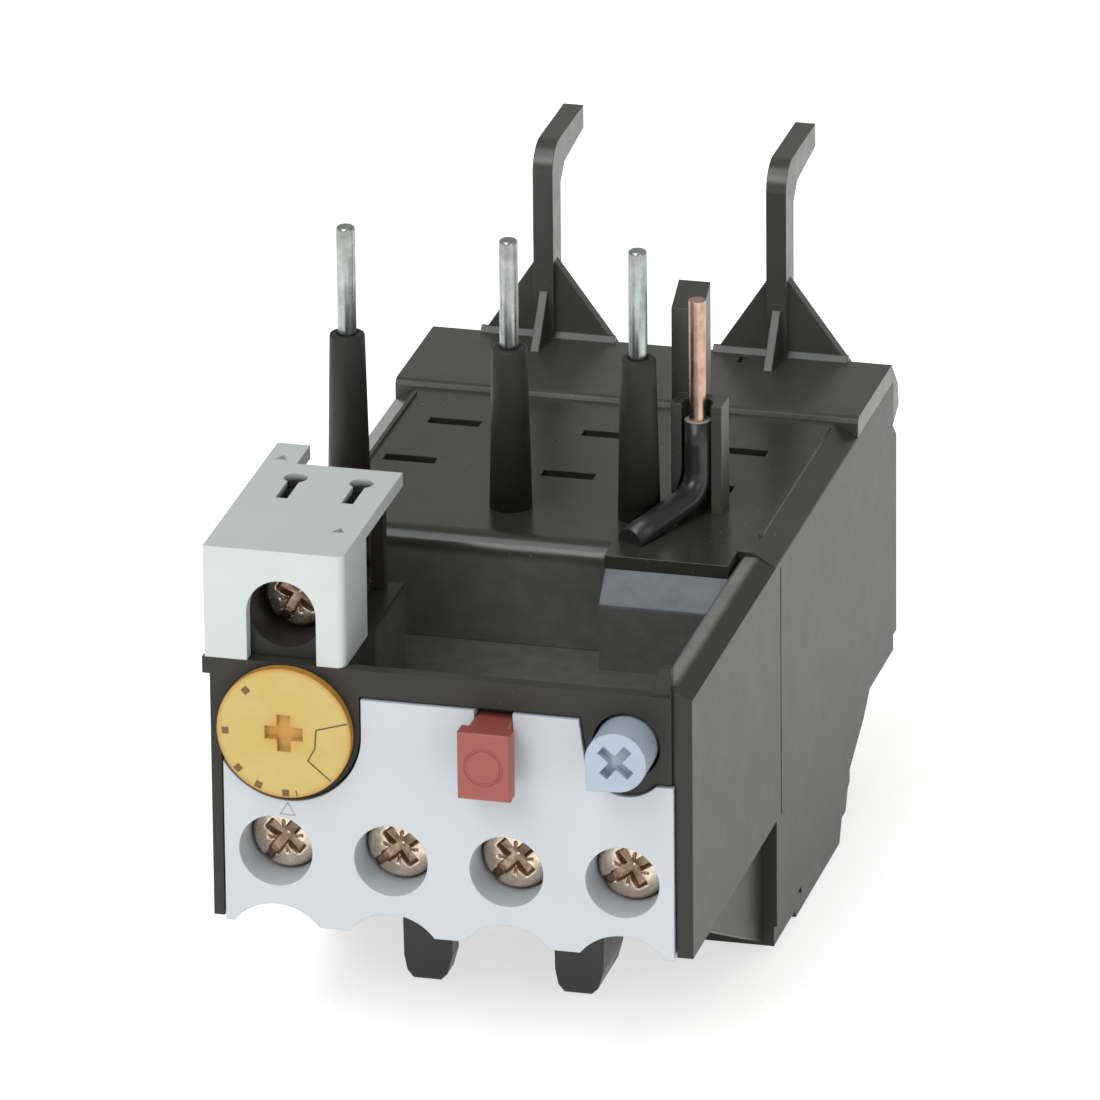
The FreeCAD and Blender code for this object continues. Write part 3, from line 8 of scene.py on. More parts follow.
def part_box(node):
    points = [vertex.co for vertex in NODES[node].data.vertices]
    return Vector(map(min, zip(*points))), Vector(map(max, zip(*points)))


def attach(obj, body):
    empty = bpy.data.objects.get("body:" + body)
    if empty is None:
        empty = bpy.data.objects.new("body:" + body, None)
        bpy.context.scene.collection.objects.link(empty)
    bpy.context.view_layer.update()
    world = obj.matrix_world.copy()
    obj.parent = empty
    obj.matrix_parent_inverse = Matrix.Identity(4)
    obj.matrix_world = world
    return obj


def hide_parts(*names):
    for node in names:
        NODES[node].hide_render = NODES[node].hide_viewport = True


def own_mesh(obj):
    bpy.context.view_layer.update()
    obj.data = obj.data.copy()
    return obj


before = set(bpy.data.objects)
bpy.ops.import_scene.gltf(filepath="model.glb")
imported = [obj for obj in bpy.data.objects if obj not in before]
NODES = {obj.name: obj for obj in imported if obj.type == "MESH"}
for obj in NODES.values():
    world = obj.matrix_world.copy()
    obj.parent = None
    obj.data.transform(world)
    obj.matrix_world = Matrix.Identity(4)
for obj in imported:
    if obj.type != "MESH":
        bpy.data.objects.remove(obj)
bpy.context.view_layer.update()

MM = 0.001
X, Y, Z = Vector((1, 0, 0)), Vector((0, 1, 0)), Vector((0, 0, 1))


# ---------------------------------------------------------------- materials


TINT_FADE = 0.3 * MM


def rgb(red, green, blue):
    """Linear colour from 0-255 screen values."""
    def linear(value):
        value /= 255
        return value / 12.92 if value <= 0.04045 else ((value + 0.055) / 1.055) ** 2.4
    return (linear(red), linear(green), linear(blue), 1.0)


def scaled(colour, factor):
    return tuple(min(1.0, channel * factor) for channel in colour[:3]) + (1.0,)


class Nodes:
    """Short calls for building a shader."""

    def __init__(self, name):
        self.material = bpy.data.materials.new(name)
        self.material.use_nodes = True
        self.tree = self.material.node_tree
        self.shader = self.tree.nodes["Principled BSDF"]
        self.place = self.add("ShaderNodeTexCoord").outputs["Object"]

    def add(self, kind, **settings):
        node = self.tree.nodes.new(kind)
        for key, value in settings.items():
            setattr(node, key, value)
        return node

    def link(self, source, target):
        self.tree.links.new(source, target)

    def noise(self, size, detail=3.0, stretch=None, rough=0.55):
        """Noise with features about size metres across."""
        node = self.add("ShaderNodeTexNoise")
        node.inputs["Scale"].default_value = 1.0 / size
        node.inputs["Detail"].default_value = detail
        node.inputs["Roughness"].default_value = rough
        vector = self.place
        if stretch:
            mapping = self.add("ShaderNodeMapping")
            mapping.inputs["Scale"].default_value = stretch
            self.link(vector, mapping.inputs["Vector"])
            vector = mapping.outputs["Vector"]
        self.link(vector, node.inputs["Vector"])
        return node.outputs["Fac"]

    def spread(self, factor, low, high, start=0.3, end=0.7):
        node = self.add("ShaderNodeMapRange")
        node.inputs["From Min"].default_value = start
        node.inputs["From Max"].default_value = end
        node.inputs["To Min"].default_value = low
        node.inputs["To Max"].default_value = high
        self.link(factor, node.inputs["Value"])
        return node.outputs["Result"]

    def mix(self, factor, first, second):
        """Colour between two colours or sockets."""
        node = self.add("ShaderNodeMix", data_type="RGBA")
        self.link(factor, node.inputs["Factor"])
        for index, value in ((6, first), (7, second)):
            if isinstance(value, tuple):
                node.inputs[index].default_value = value
            else:
                self.link(value, node.inputs[index])
        return node.outputs[2]

    def sum(self, first, second, operation="ADD"):
        node = self.add("ShaderNodeMath", operation=operation)
        for index, value in ((0, first), (1, second)):
            if isinstance(value, (int, float)):
                node.inputs[index].default_value = value
            else:
                self.link(value, node.inputs[index])
        return node.outputs["Value"]

    def within(self, axis, low, high):
        """1 where a place lies between two distances along an axis, else 0, eased at both ends."""
        split = self.add("ShaderNodeSeparateXYZ")
        self.link(self.place, split.inputs["Vector"])
        place = split.outputs[axis]
        return self.sum(self.spread(place, 0.0, 1.0, low - TINT_FADE, low + TINT_FADE),
                        self.spread(place, 1.0, 0.0, high - TINT_FADE, high + TINT_FADE), "MULTIPLY")

    def relief(self, height, depth, strength, edge):
        """Bump over edges that are rounded off for the light."""
        bump = self.add("ShaderNodeBump")
        bump.inputs["Distance"].default_value = depth
        bump.inputs["Strength"].default_value = strength
        self.link(height, bump.inputs["Height"])
        if edge:
            bevel = self.add("ShaderNodeBevel", samples=4)
            bevel.inputs["Radius"].default_value = edge
            self.link(bevel.outputs["Normal"], bump.inputs["Normal"])
        self.link(bump.outputs["Normal"], self.shader.inputs["Normal"])

    def paint(self, colour):
        self.link(colour, self.shader.inputs["Base Color"])

    def gloss(self, value):
        self.link(value, self.shader.inputs["Roughness"])


GRAIN_SIZE = 0.16 * MM
GRAIN_DEPTH = 0.006 * MM
SPECK = rgb(190, 188, 180)


def moulded(name, colour, rough, mottle=0.08, dust=0.0, edge=0.14 * MM, specular=0.5, vary=0.2, waves=0.4,
            painted_tints=()):
    """Moulded plastic: faint flow clouds, fine grain, gloss that varies, dust specks and rooms of painted
    tint.

    A tint is a colour and the room that it fills, as the pairs of ends along x, y and z; the tints are
    painted light, shade and reflections, and the well's tint is also dust.
    """
    n = Nodes(name)
    clouds = n.noise(6 * MM, 4.0)
    base = n.mix(n.spread(clouds, 0.0, 1.0), scaled(colour, 1 - mottle), scaled(colour, 1 + mottle))
    if dust:
        specks = n.noise(0.35 * MM, 2.0)
        patch = n.noise(9 * MM, 2.0)
        both = n.sum(n.spread(specks, 0.0, 1.0, 0.68, 0.74), n.spread(patch, 0.0, 1.0, 0.45, 0.7),
                     "MULTIPLY")
        base = n.mix(n.sum(both, dust, "MULTIPLY"), base, SPECK)
    # Painted tints: dust and painted light in the well, painted reflections on crest and ramp, painted shade
    # in keyholes.
    for tint, room in painted_tints:
        inside = n.within("X", *room[0])
        for axis, ends in (("Y", room[1]), ("Z", room[2])):
            inside = n.sum(inside, n.within(axis, *ends), "MULTIPLY")
        cloud = n.spread(n.noise(2 * MM, 5.0), 0.0, 1.0)
        base = n.mix(inside, base, n.mix(cloud, scaled(tint, 0.85), scaled(tint, 1.15)))
    n.paint(base)
    smears = n.noise(3.5 * MM, 5.0, rough=0.7)
    n.gloss(n.spread(smears, rough * (1 - vary), rough * (1 + vary)))
    n.shader.inputs["Specular IOR Level"].default_value = specular
    n.relief(n.sum(n.noise(GRAIN_SIZE, 2.0), n.sum(clouds, waves, "MULTIPLY")), GRAIN_DEPTH, 0.5, edge)
    return n.material


STREAK_SIZE = 0.5 * MM
STREAK_DEPTH = 0.01 * MM
METAL_EDGE = 0.06 * MM


def metal(name, bright, dark, rough, streak=(1.0, 1.0, 1.0)):
    """Plated or drawn metal: stained in patches and streaked along its drawing direction."""
    n = Nodes(name)
    stains = n.noise(1.6 * MM, 4.0, rough=0.65)
    lines = n.noise(STREAK_SIZE, 3.0, streak)
    tone = n.sum(n.spread(stains, 0.0, 0.75), n.spread(lines, 0.0, 0.25))
    n.paint(n.mix(tone, bright, dark))
    n.shader.inputs["Metallic"].default_value = 1.0
    n.gloss(n.spread(lines, rough * 0.7, rough * 1.4))
    n.relief(lines, STREAK_DEPTH, 0.6, METAL_EDGE)
    return n.material


def dial_plastic(name, centre, radius):
    """Slightly waxy yellow with a deeper orange edge, and a painted glow: deeper orange round the recess."""
    n = Nodes(name)
    away = n.add("ShaderNodeVectorMath", operation="DISTANCE")
    flat = n.add("ShaderNodeVectorMath", operation="MULTIPLY")
    flat.inputs[1].default_value = (1, 0, 1)
    n.link(n.place, flat.inputs[0])
    n.link(flat.outputs["Vector"], away.inputs[0])
    away.inputs[1].default_value = (centre.x, 0, centre.z)
    distance = away.outputs["Value"]
    clouds = n.noise(3 * MM, 4.0)
    face = n.mix(n.spread(clouds, 0.0, 1.0), rgb(190, 165, 90), rgb(197, 174, 104))
    rim = n.mix(n.spread(distance, 0.0, 1.0, radius * 0.93, radius * 1.0), face, rgb(184, 134, 58))
    # Painted glow: deeper orange round the recess.
    n.paint(n.mix(n.spread(distance, 1.0, 0.0, 0.9 * MM, 2.4 * MM), rim, rgb(196, 146, 64)))
    n.gloss(n.spread(clouds, 0.3, 0.42))
    n.shader.inputs["Subsurface Weight"].default_value = 0.15
    n.shader.inputs["Subsurface Radius"].default_value = (0.8 * MM, 0.5 * MM, 0.2 * MM)
    n.shader.inputs["Subsurface Scale"].default_value = 1.0
    n.relief(n.noise(0.2 * MM, 2.0), 0.004 * MM, 0.4, 0.1 * MM)
    return n.material


def floor_material():
    n = Nodes("floor_paper")
    cloud = n.noise(0.2, 3.0)
    n.paint(n.mix(n.spread(cloud, 0.0, 1.0), (0.86, 0.86, 0.86, 1.0), (0.88, 0.88, 0.88, 1.0)))
    n.shader.inputs["Roughness"].default_value = 0.9
    n.shader.inputs["Emission Color"].default_value = (1.0, 1.0, 1.0, 1.0)
    n.shader.inputs["Emission Strength"].default_value = 0.65
    return n.material


def give(material, *names):
    for name in names:
        for slot in NODES[name].material_slots:
            slot.material = material


def numbered(stem, count):
    return ["%s_%d" % (stem, i + 1) for i in range(count)]


def middle(node):
    low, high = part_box(node)
    return (Vector(low) + Vector(high)) / 2


# Rooms of painted tint, measured in from the deck, the cover and the front: dust and painted light in the
# well, painted reflections on the crest and the ramp, painted shade in the keyholes.

DECK_LOW, DECK_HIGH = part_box("top_cover")
COVER_LOW, COVER_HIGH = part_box("aux_terminal_cover")
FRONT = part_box("front_housing")[0][1]
LEFT_WALL = 3.0 * MM
RIGHT_WALL = 3.46 * MM
WELL_FRONT = 10.6 * MM
WELL_BACK = 3.8 * MM
WELL_FOOT = 0.5 * MM
WELL_TOP = 2.05 * MM
WELL = ((DECK_LOW[0] + LEFT_WALL, DECK_HIGH[0] - RIGHT_WALL), (FRONT + WELL_FRONT, DECK_LOW[1] + WELL_BACK),
        (DECK_LOW[2] - WELL_FOOT, DECK_HIGH[2] - WELL_TOP))
CREST_SIDES = 3.5 * MM, 1.8 * MM
CREST_FRONT = 1.0 * MM
CREST_TALL = 1.3 * MM
# Crest strip along the deck's right edge, painted lighter: a painted reflection of the bright surroundings.
CREST_REFLECTION_ROOM = ((DECK_HIGH[0] - CREST_SIDES[0], DECK_HIGH[0] - CREST_SIDES[1]),
         (FRONT + CREST_FRONT, DECK_LOW[1] + WELL_BACK), (DECK_HIGH[2] - CREST_TALL, DECK_HIGH[2]))
KEYHOLE_SIDES = 2.7 * MM, 1.8 * MM
KEYHOLE_ENDS = 12.2 * MM, 6.5 * MM
KEYHOLE_DEPTHS = 1.5 * MM, 0.42 * MM
# Walls inside the cover's keyholes, painted dark: painted shade.
KEYHOLE_SHADE_ROOM = ((COVER_LOW[0] + KEYHOLE_SIDES[0], COVER_HIGH[0] - KEYHOLE_SIDES[1]),
            (COVER_LOW[1] + KEYHOLE_ENDS[0], COVER_HIGH[1] - KEYHOLE_ENDS[1]),
            (COVER_HIGH[2] - KEYHOLE_DEPTHS[0], COVER_HIGH[2] - KEYHOLE_DEPTHS[1]))
RAMP_SIDE = 15.2 * MM
RAMP_ENDS = 2.9 * MM, 0.4 * MM
RAMP_DEPTHS = 4.2 * MM, 1.0 * MM
# Ramp at the back of the well, painted bluish-light: a painted reflection.
RAMP_REFLECTION_ROOM = ((DECK_HIGH[0] - RAMP_SIDE, WELL[0][1]), (DECK_LOW[1] - RAMP_ENDS[0], DECK_LOW[1] + RAMP_ENDS[1]),
        (DECK_HIGH[2] - RAMP_DEPTHS[0], DECK_HIGH[2] - RAMP_DEPTHS[1]))
# Lighter tint for the well's floor and back wall: partly dust, partly painted light lifting them out of
# their shade.
WELL_DUST_AND_LIGHT = rgb(90, 89, 87)
DIAL_RADIUS = 6.3 * MM
# On black_gloss the crest and ramp tints are painted reflections; the well's tint is dust and painted light.
BLACK = moulded("black_gloss", rgb(56, 55, 52), 0.36, mottle=0.04, dust=0.08, specular=0.14, vary=0.06,
                waves=0.1, painted_tints=((WELL_DUST_AND_LIGHT, WELL), (rgb(124, 124, 122), CREST_REFLECTION_ROOM), (rgb(112, 118, 122), RAMP_REFLECTION_ROOM)))
BLACK_DECK = moulded("black_deck", rgb(49, 49, 43), 0.24, dust=0.35, painted_tints=((WELL_DUST_AND_LIGHT, WELL),))
BLACK_CAP = moulded("black_cap", rgb(62, 62, 56), 0.3, dust=0.2)
BLACK_SATIN = moulded("black_satin", rgb(44, 43, 42), 0.4, dust=0.1)
BLACK_SLEEVE = moulded("black_sleeve", rgb(49, 48, 46), 0.48, mottle=0.12, specular=0.2)
BLACK_SKIN = moulded("black_skin", rgb(38, 37, 37), 0.3, edge=0)
INNER = moulded("inner_plastic", rgb(58, 56, 54), 0.5)
PLATE = moulded("plate_grey", rgb(191, 196, 201), 0.42, mottle=0.015, specular=0.4)
# The cover's keyhole tint is painted shade.
COVER = moulded("cover_grey", rgb(197, 203, 201), 0.45, mottle=0.02, specular=0.4,
                painted_tints=((rgb(60, 62, 60), KEYHOLE_SHADE_ROOM),))
RED = moulded("stop_red", rgb(151, 76, 70), 0.38, mottle=0.04)
BLUE = moulded("reset_blue", rgb(162, 175, 189), 0.36, mottle=0.05)
DIAL = dial_plastic("dial_yellow", middle("setting_dial"), DIAL_RADIUS)
MARK = moulded("dial_print", rgb(110, 82, 44), 0.6, edge=0)
PRINT = moulded("plate_print", rgb(150, 154, 160), 0.6, edge=0)
SCREW = metal("zinc_yellow", rgb(240, 226, 208), rgb(196, 172, 148), 0.28)
# Darker metal for the faces deep in a screw's recess: painted shade.
SCREW_RECESS_SHADE = metal("zinc_recess_shade", rgb(196, 172, 146), rgb(112, 84, 70), 0.36)
CAGE = metal("cage_plated", rgb(206, 204, 192), rgb(140, 136, 122), 0.3)
PIN = metal("pin_tinned", rgb(190, 197, 193), rgb(136, 144, 140), 0.3, (1.0, 1.0, 0.08))
BRASS = metal("brass_strap", rgb(214, 190, 120), rgb(140, 112, 60), 0.32)
COPPER = metal("copper_core", rgb(216, 184, 168), rgb(166, 130, 112), 0.3, (1.0, 1.0, 0.1))
ALLOY = metal("heater_alloy", rgb(170, 166, 158), rgb(90, 84, 78), 0.4)
BIMETAL = metal("bimetal_strip", rgb(200, 198, 190), rgb(130, 126, 118), 0.34)
WIRE = metal("spring_wire", rgb(200, 200, 200), rgb(120, 120, 120), 0.25)
CUT = moulded("insulation_cut", rgb(150, 146, 140), 0.6, edge=0)

give(BLACK, "front_housing", "rear_housing", "aux_terminal_block")
give(BLACK_CAP, "rear_cap", "lead_guide")
give(BLACK_DECK, "top_cover")
give(BLACK_SATIN, "terminal_block")
give(BLACK_SLEEVE, *numbered("pin_sleeve", 3))
give(BLACK_SKIN, "control_lead_sleeve")
give(PLATE, "front_plate")
give(COVER, "aux_terminal_cover")
give(DIAL, "setting_dial", "dial_spindle")
give(RED, "stop_button")
give(BLUE, "reset_knob")
give(SCREW, "aux_screw", *numbered("terminal_screw", 4))
give(CAGE, "aux_cage", *numbered("terminal_cage", 4))
give(PIN, *numbered("line_pin", 3))
give(BRASS, "control_bar", "aux_bar", "fixed_contacts", *numbered("load_bar", 3), *numbered("line_strap", 3))
give(COPPER, "control_lead_core")
give(ALLOY, *numbered("heater", 3))
give(BIMETAL, *numbered("bimetal", 3))
give(WIRE, "stop_spring", "reset_spring")
give(INNER, "cam_follower", "reset_selector", "trip_slide", "return_slide", "trip_rocker",
     "rocker_bearing", "contact_slider")


# ---------------------------------------------------------------- printed marks


def placed(mesh, name, materials):
    """Object made from a bmesh, with its materials."""
    data = bpy.data.meshes.new(name)
    mesh.to_mesh(data)
    mesh.free()
    piece = bpy.data.objects.new(name, data)
    bpy.context.scene.collection.objects.link(piece)
    for material in materials:
        data.materials.append(material)
    return piece


def solid(name, body, material, loops, axis, thickness):
    """Thin plates from closed outlines, pushed along axis."""
    mesh = bmesh.new()
    for loop in loops:
        front = [mesh.verts.new(point) for point in loop]
        back = [mesh.verts.new(Vector(point) + Vector(axis) * thickness) for point in loop]
        mesh.faces.new(front)
        mesh.faces.new(list(reversed(back)))
        for i in range(len(loop)):
            j = (i + 1) % len(loop)
            mesh.faces.new((front[j], front[i], back[i], back[j]))
    bmesh.ops.recalc_face_normals(mesh, faces=mesh.faces)
    piece = placed(mesh, name, [material])
    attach(piece, body)
    return piece


def square(half):
    """Corners of a square round the middle."""
    return [(-half, -half), (half, -half), (half, half), (-half, half)]


def stroke(start, end, width, y):
    """Outline of one drawn line on a face square to y."""
    start = Vector((start[0], y, start[1]))
    end = Vector((end[0], y, end[1]))
    side = (end - start).cross(Y).normalized() * width / 2
    return [start + side, end + side, end - side, start - side]


def polar(centre, radius, degrees):
    """Point on a face square to y; degrees run counter-clockwise from the right, seen from the front."""
    angle = math.radians(degrees)
    return (centre.x + radius * math.cos(angle), centre.z + radius * math.sin(angle))


PRINT_SINK = 0.01 * MM
PRINT_RISE = 0.015 * MM
# Places on the dial as (radius in millimetres, degrees).
SQUARES = (5.25, 132), (5.5, 182), (5.75, 221), (5.8, 245), (5.85, 271)
SECTOR = (6.2, 14), (3.1, 11), (3.15, -23), (3.35, -48), (6.1, -44.5)
TICK = 5.6 * MM, 6.15 * MM
TICK_ANGLE = 281
POINTER_DROP = 7.2 * MM


def dial_marks():
    """Marks at the dial's stops and the corner of its scale."""
    centre = middle("setting_dial")
    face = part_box("setting_dial")[0][1] + PRINT_SINK
    squares = []
    for radius, degrees in SQUARES:
        x, z = polar(centre, radius * MM, degrees)
        turn = math.radians(degrees)
        squares.append([Vector((x + a * math.cos(turn) - b * math.sin(turn), face,
                                z + a * math.sin(turn) + b * math.cos(turn))) for a, b in square(0.33 * MM)])
    tick = [polar(centre, radius, TICK_ANGLE) for radius in TICK]
    squares.append(stroke(*tick, 0.12 * MM, face))
    solid("dial_marks", "dial", MARK, squares, (0, -1, 0), PRINT_SINK + PRINT_RISE)
    points = [polar(centre, radius * MM, degrees) for radius, degrees in SECTOR]
    lines = [stroke(a, b, 0.15 * MM, face) for a, b in zip(points, points[1:])]
    solid("dial_sector", "dial", MARK, lines, (0, -1, 0), PRINT_SINK + PRINT_RISE)


def plate_pointer():
    """Small open triangle that the dial is read against."""
    dial = middle("setting_dial")
    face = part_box("front_plate")[0][1] + PRINT_SINK
    half, tall = 0.7 * MM, 1.2 * MM
    top = dial.z - POINTER_DROP
    corners = [(dial.x, top), (dial.x - half, top - tall), (dial.x + half, top - tall)]
    lines = [stroke(a, b, 0.11 * MM, face) for a, b in zip(corners, corners[1:] + corners[:1])]
    solid("dial_pointer", "housing", PRINT, lines, (0, -1, 0), PRINT_SINK + PRINT_RISE)


# ---------------------------------------------------------------- turned pieces, screws and springs


def grid_piece(name, body, materials, rows, dark=None, smooth=True):
    """Closed skin over rows of points; each row is a loop, and both end rows are capped.

    dark tells of row r and place i whether that face takes the second material.
    """
    mesh = bmesh.new()
    loops = [[mesh.verts.new(point) for point in row] for row in rows]
    count = len(rows[0])
    for r, (upper, lower) in enumerate(zip(loops, loops[1:])):
        for i in range(count):
            j = (i + 1) % count
            face = mesh.faces.new((upper[i], upper[j], lower[j], lower[i]))
            face.smooth = smooth
            if dark and dark(r, i):
                face.material_index = 1
    mesh.faces.new(loops[0])
    mesh.faces.new(list(reversed(loops[-1])))
    bmesh.ops.recalc_face_normals(mesh, faces=mesh.faces)
    piece = placed(mesh, name, materials)
    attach(piece, body)
    return piece


def circle(centre, first, second, radius, sides):
    """Loop of points round centre in the plane of two axes."""
    return [centre + (first * math.cos(a) + second * math.sin(a)) * radius
            for a in (2 * math.pi * i / sides for i in range(sides))]


TURNED_SIDES = 48


def turned(name, body, material, node, profile):
    """Upright turned piece on the axis of a CAD node; profile is (radius, height above its foot)."""
    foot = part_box(node)[0][2]
    centre = middle(node)
    rows = [circle(Vector((centre.x, centre.y, foot + height)), X, Y, radius, TURNED_SIDES)
            for radius, height in profile]
    piece = grid_piece(name, body, [material], rows)
    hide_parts(node)
    return piece


PIN_RADIUS = 0.88 * MM
PIN_SHOULDER = 0.8 * MM
PIN_TIP = 0.66 * MM
SLEEVE_TIP = 1.65 * MM
SLEEVE_BORE = 0.95 * MM
SLEEVE_BORE_DEEP = 1.0 * MM


def add_pins():
    """Pins with broken edges at the tip, in sleeves that taper upwards."""
    for i in range(3):
        low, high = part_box("line_pin_%d" % (i + 1))
        tall = high[2] - low[2]
        turned("pin_%d" % (i + 1), "housing", PIN, "line_pin_%d" % (i + 1),
               [(PIN_RADIUS, 0), (PIN_RADIUS, tall - 0.3 * MM),
                (PIN_SHOULDER, tall - 0.08 * MM), (PIN_TIP, tall)])
        low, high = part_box("pin_sleeve_%d" % (i + 1))
        foot = (high[0] - low[0]) / 2
        tall = high[2] - low[2]
        turned("sleeve_%d" % (i + 1), "housing", BLACK_SLEEVE, "pin_sleeve_%d" % (i + 1),
               [(foot, 0), (SLEEVE_TIP, tall - 0.2 * MM), (SLEEVE_TIP - 0.06 * MM, tall - 0.06 * MM),
                (SLEEVE_TIP - 0.2 * MM, tall), (SLEEVE_BORE, tall), (SLEEVE_BORE, tall - SLEEVE_BORE_DEEP)])


LEAD_RADIUS = 1.29 * MM
LEAD_CUT_RADIUS = 1.1 * MM
LEAD_DROP = 7.3 * MM
LEAD_RUN = Vector((-4.2, -9.4, -8.8)) * MM
LEAD_BEND = 2.6 * MM
LEAD_BEND_STEPS = 16
LEAD_SIDES = 32
CUT_OUTER = 1.24 * MM
CUT_FLARE = 1.27 * MM
CUT_LIFT, CUT_DROP = 0.02, -0.15
CUT_GAP = 0.01 * MM
CUT_SIDES = 40


def add_lead():
    """Insulation of the control lead: straight down, one smooth bend, forward along the deck."""
    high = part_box("control_lead_sleeve")[1]
    core = middle("control_lead_core")
    top = Vector((core.x, core.y, high[2]))
    corner = top - Vector((0, 0, LEAD_DROP))
    end = top + LEAD_RUN
    down, out = Vector((0, 0, -1)), (end - corner).normalized()
    before, after = corner - down * LEAD_BEND, corner + out * LEAD_BEND
    bend = [before * (1 - t) ** 2 + corner * (2 * t * (1 - t)) + after * t ** 2
            for t in (i / LEAD_BEND_STEPS for i in range(LEAD_BEND_STEPS + 1))]
    path = [top, (top + before) / 2] + bend + [(after + end) / 2, end]
    across = down.cross(out).normalized()
    rows = []
    for i, place in enumerate(path):
        ahead = (path[min(i + 1, len(path) - 1)] - path[max(i - 1, 0)]).normalized()
        rows.append(circle(place, across, ahead.cross(across), LEAD_RADIUS, LEAD_SIDES))
    rows.append(circle(end, across, out.cross(across), LEAD_CUT_RADIUS, LEAD_SIDES))
    piece = grid_piece("lead_skin", "housing", [BLACK_SKIN], rows)
    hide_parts("control_lead_sleeve")


def add_lead_end():
    """Cut end of the lead's insulation."""
    low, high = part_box("control_lead_core")
    centre = middle("control_lead_core")
    core = (high[0] - low[0]) / 2
    bore = core + CUT_GAP
    ends = [(bore, CUT_LIFT), (CUT_OUTER, CUT_LIFT), (CUT_FLARE, CUT_DROP), (bore, CUT_DROP)]
    rows = [circle(Vector((centre.x, centre.y, low[2] + lift * MM)), X, Y, radius, CUT_SIDES)
            for radius, lift in ends]
    grid_piece("lead_cut_end", "housing", [CUT], rows)


def smooth_step(value, edge, soft):
    """1 inside edge, 0 outside, eased over soft."""
    share = min(1.0, max(0.0, (edge - value) / soft + 0.5))
    return share * share * (3 - 2 * share)


# Screw head and recess, in millimetres.
ARM_HALF, ARM_REACH, ARM_SOFT, ARM_END_SOFT = 0.52, 1.95, 0.14, 0.2
CROSS_DEPTH, CROSS_RISE = 1.25, 0.3
SLOT_HALF, SLOT_DEPTH = 0.36, 0.5
STAR_HALF, STAR_REACH, STAR_END_SOFT, STAR_DEPTH = 0.12, 1.6, 0.3, 0.3
RECESS_SHADE_DEPTH = 0.16
DOME_START, DOME_SAG, DOME_EDGE, DOME_EDGE_FROM = 0.05, 0.4, 0.35, 0.9


def recess_depth(along, across):
    """Depth of cross, slot and fine star ribs at a place on a screw's head, in millimetres."""
    radius = math.hypot(along, across)

    def arm(side, length):
        return smooth_step(abs(side), ARM_HALF, ARM_SOFT) * smooth_step(abs(length), ARM_REACH, ARM_END_SOFT)

    arms = max(arm(along, across), arm(across, along))
    slot = smooth_step(abs(across), SLOT_HALF, ARM_SOFT)
    diagonal = min(abs(along - across), abs(along + across)) * math.sqrt(0.5)
    star = smooth_step(diagonal, STAR_HALF, STAR_HALF) * smooth_step(radius, STAR_REACH, STAR_END_SOFT)
    return max(arms * (CROSS_DEPTH - CROSS_RISE * radius), slot * SLOT_DEPTH, star * STAR_DEPTH)


HEAD_TALL = 2.1 * MM
HEAD_RINGS = 30
SCREW_SIDES = 120
SHANK_RADIUS = 1.72 * MM
THREAD_DEPTH = 0.32 * MM
THREAD_PITCH = 0.6 * MM
THREAD_STEPS = 6


def add_screw(number, node, body, degrees):
    """Combination-head screw: domed head with cross, slot and star, and a threaded shank; faces deep in the
    recess take a darker metal as painted shade.
    """
    low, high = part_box(node)
    centre = middle(node)
    front, back = low[1], high[1]
    radius = (high[0] - low[0]) / 2
    turn = math.radians(degrees)
    angles = [2 * math.pi * i / SCREW_SIDES for i in range(SCREW_SIDES)]
    rows = []
    depths = []
    for k in range(1, HEAD_RINGS + 1):
        share = k / HEAD_RINGS
        row = []
        line = []
        for angle in angles:
            across = share * radius / MM * math.sin(angle - turn)
            along = share * radius / MM * math.cos(angle - turn)
            cut = recess_depth(along, across)
            edge = DOME_EDGE * max(0.0, share - DOME_EDGE_FROM) / (1 - DOME_EDGE_FROM)
            sink = (DOME_START + DOME_SAG * share ** 2 + edge + cut) * MM
            line.append(cut)
            row.append(Vector((centre.x + share * radius * math.cos(angle), front + sink,
                               centre.z + share * radius * math.sin(angle))))
        rows.append(row)
        depths.append(line)
    rows.append(circle(Vector((centre.x, front + HEAD_TALL, centre.z)), X, Z, radius, SCREW_SIDES))
    length = back - front - HEAD_TALL
    layers = int(length / THREAD_PITCH * THREAD_STEPS)
    for k in range(layers + 1):
        row = []
        for i, angle in enumerate(angles):
            phase = (k / THREAD_STEPS - i / SCREW_SIDES) % 1.0
            ridge = abs(phase - 0.5) * 2
            deep = SHANK_RADIUS - THREAD_DEPTH * (1 - ridge)
            row.append(Vector((centre.x + deep * math.cos(angle), front + HEAD_TALL + length * k / layers,
                               centre.z + deep * math.sin(angle))))
        rows.append(row)
    # Faces deeper than the shade depth take the darker metal: painted shade in the recess.
    piece = grid_piece("screw_%s" % number, body, [SCREW, SCREW_RECESS_SHADE], rows,
                       lambda r, i: r < HEAD_RINGS - 1 and depths[r][i] > RECESS_SHADE_DEPTH)
    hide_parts(node)


STOP_THICK = 1.8 * MM
STOP_SIDES = 64
STOP_RING = 1.52 * MM, 1.57 * MM, 1.8 * MM, 1.85 * MM
STOP_RING_DEPTH = 0.09 * MM
STOP_EDGE = 0.15 * MM
STEM_HALF = 1.75 * MM
STEM_TALL = 3.0 * MM
STEM_SLOPE_LENGTH = 2.4 * MM
STEM_SLOPE_DROP = 0.77 * MM


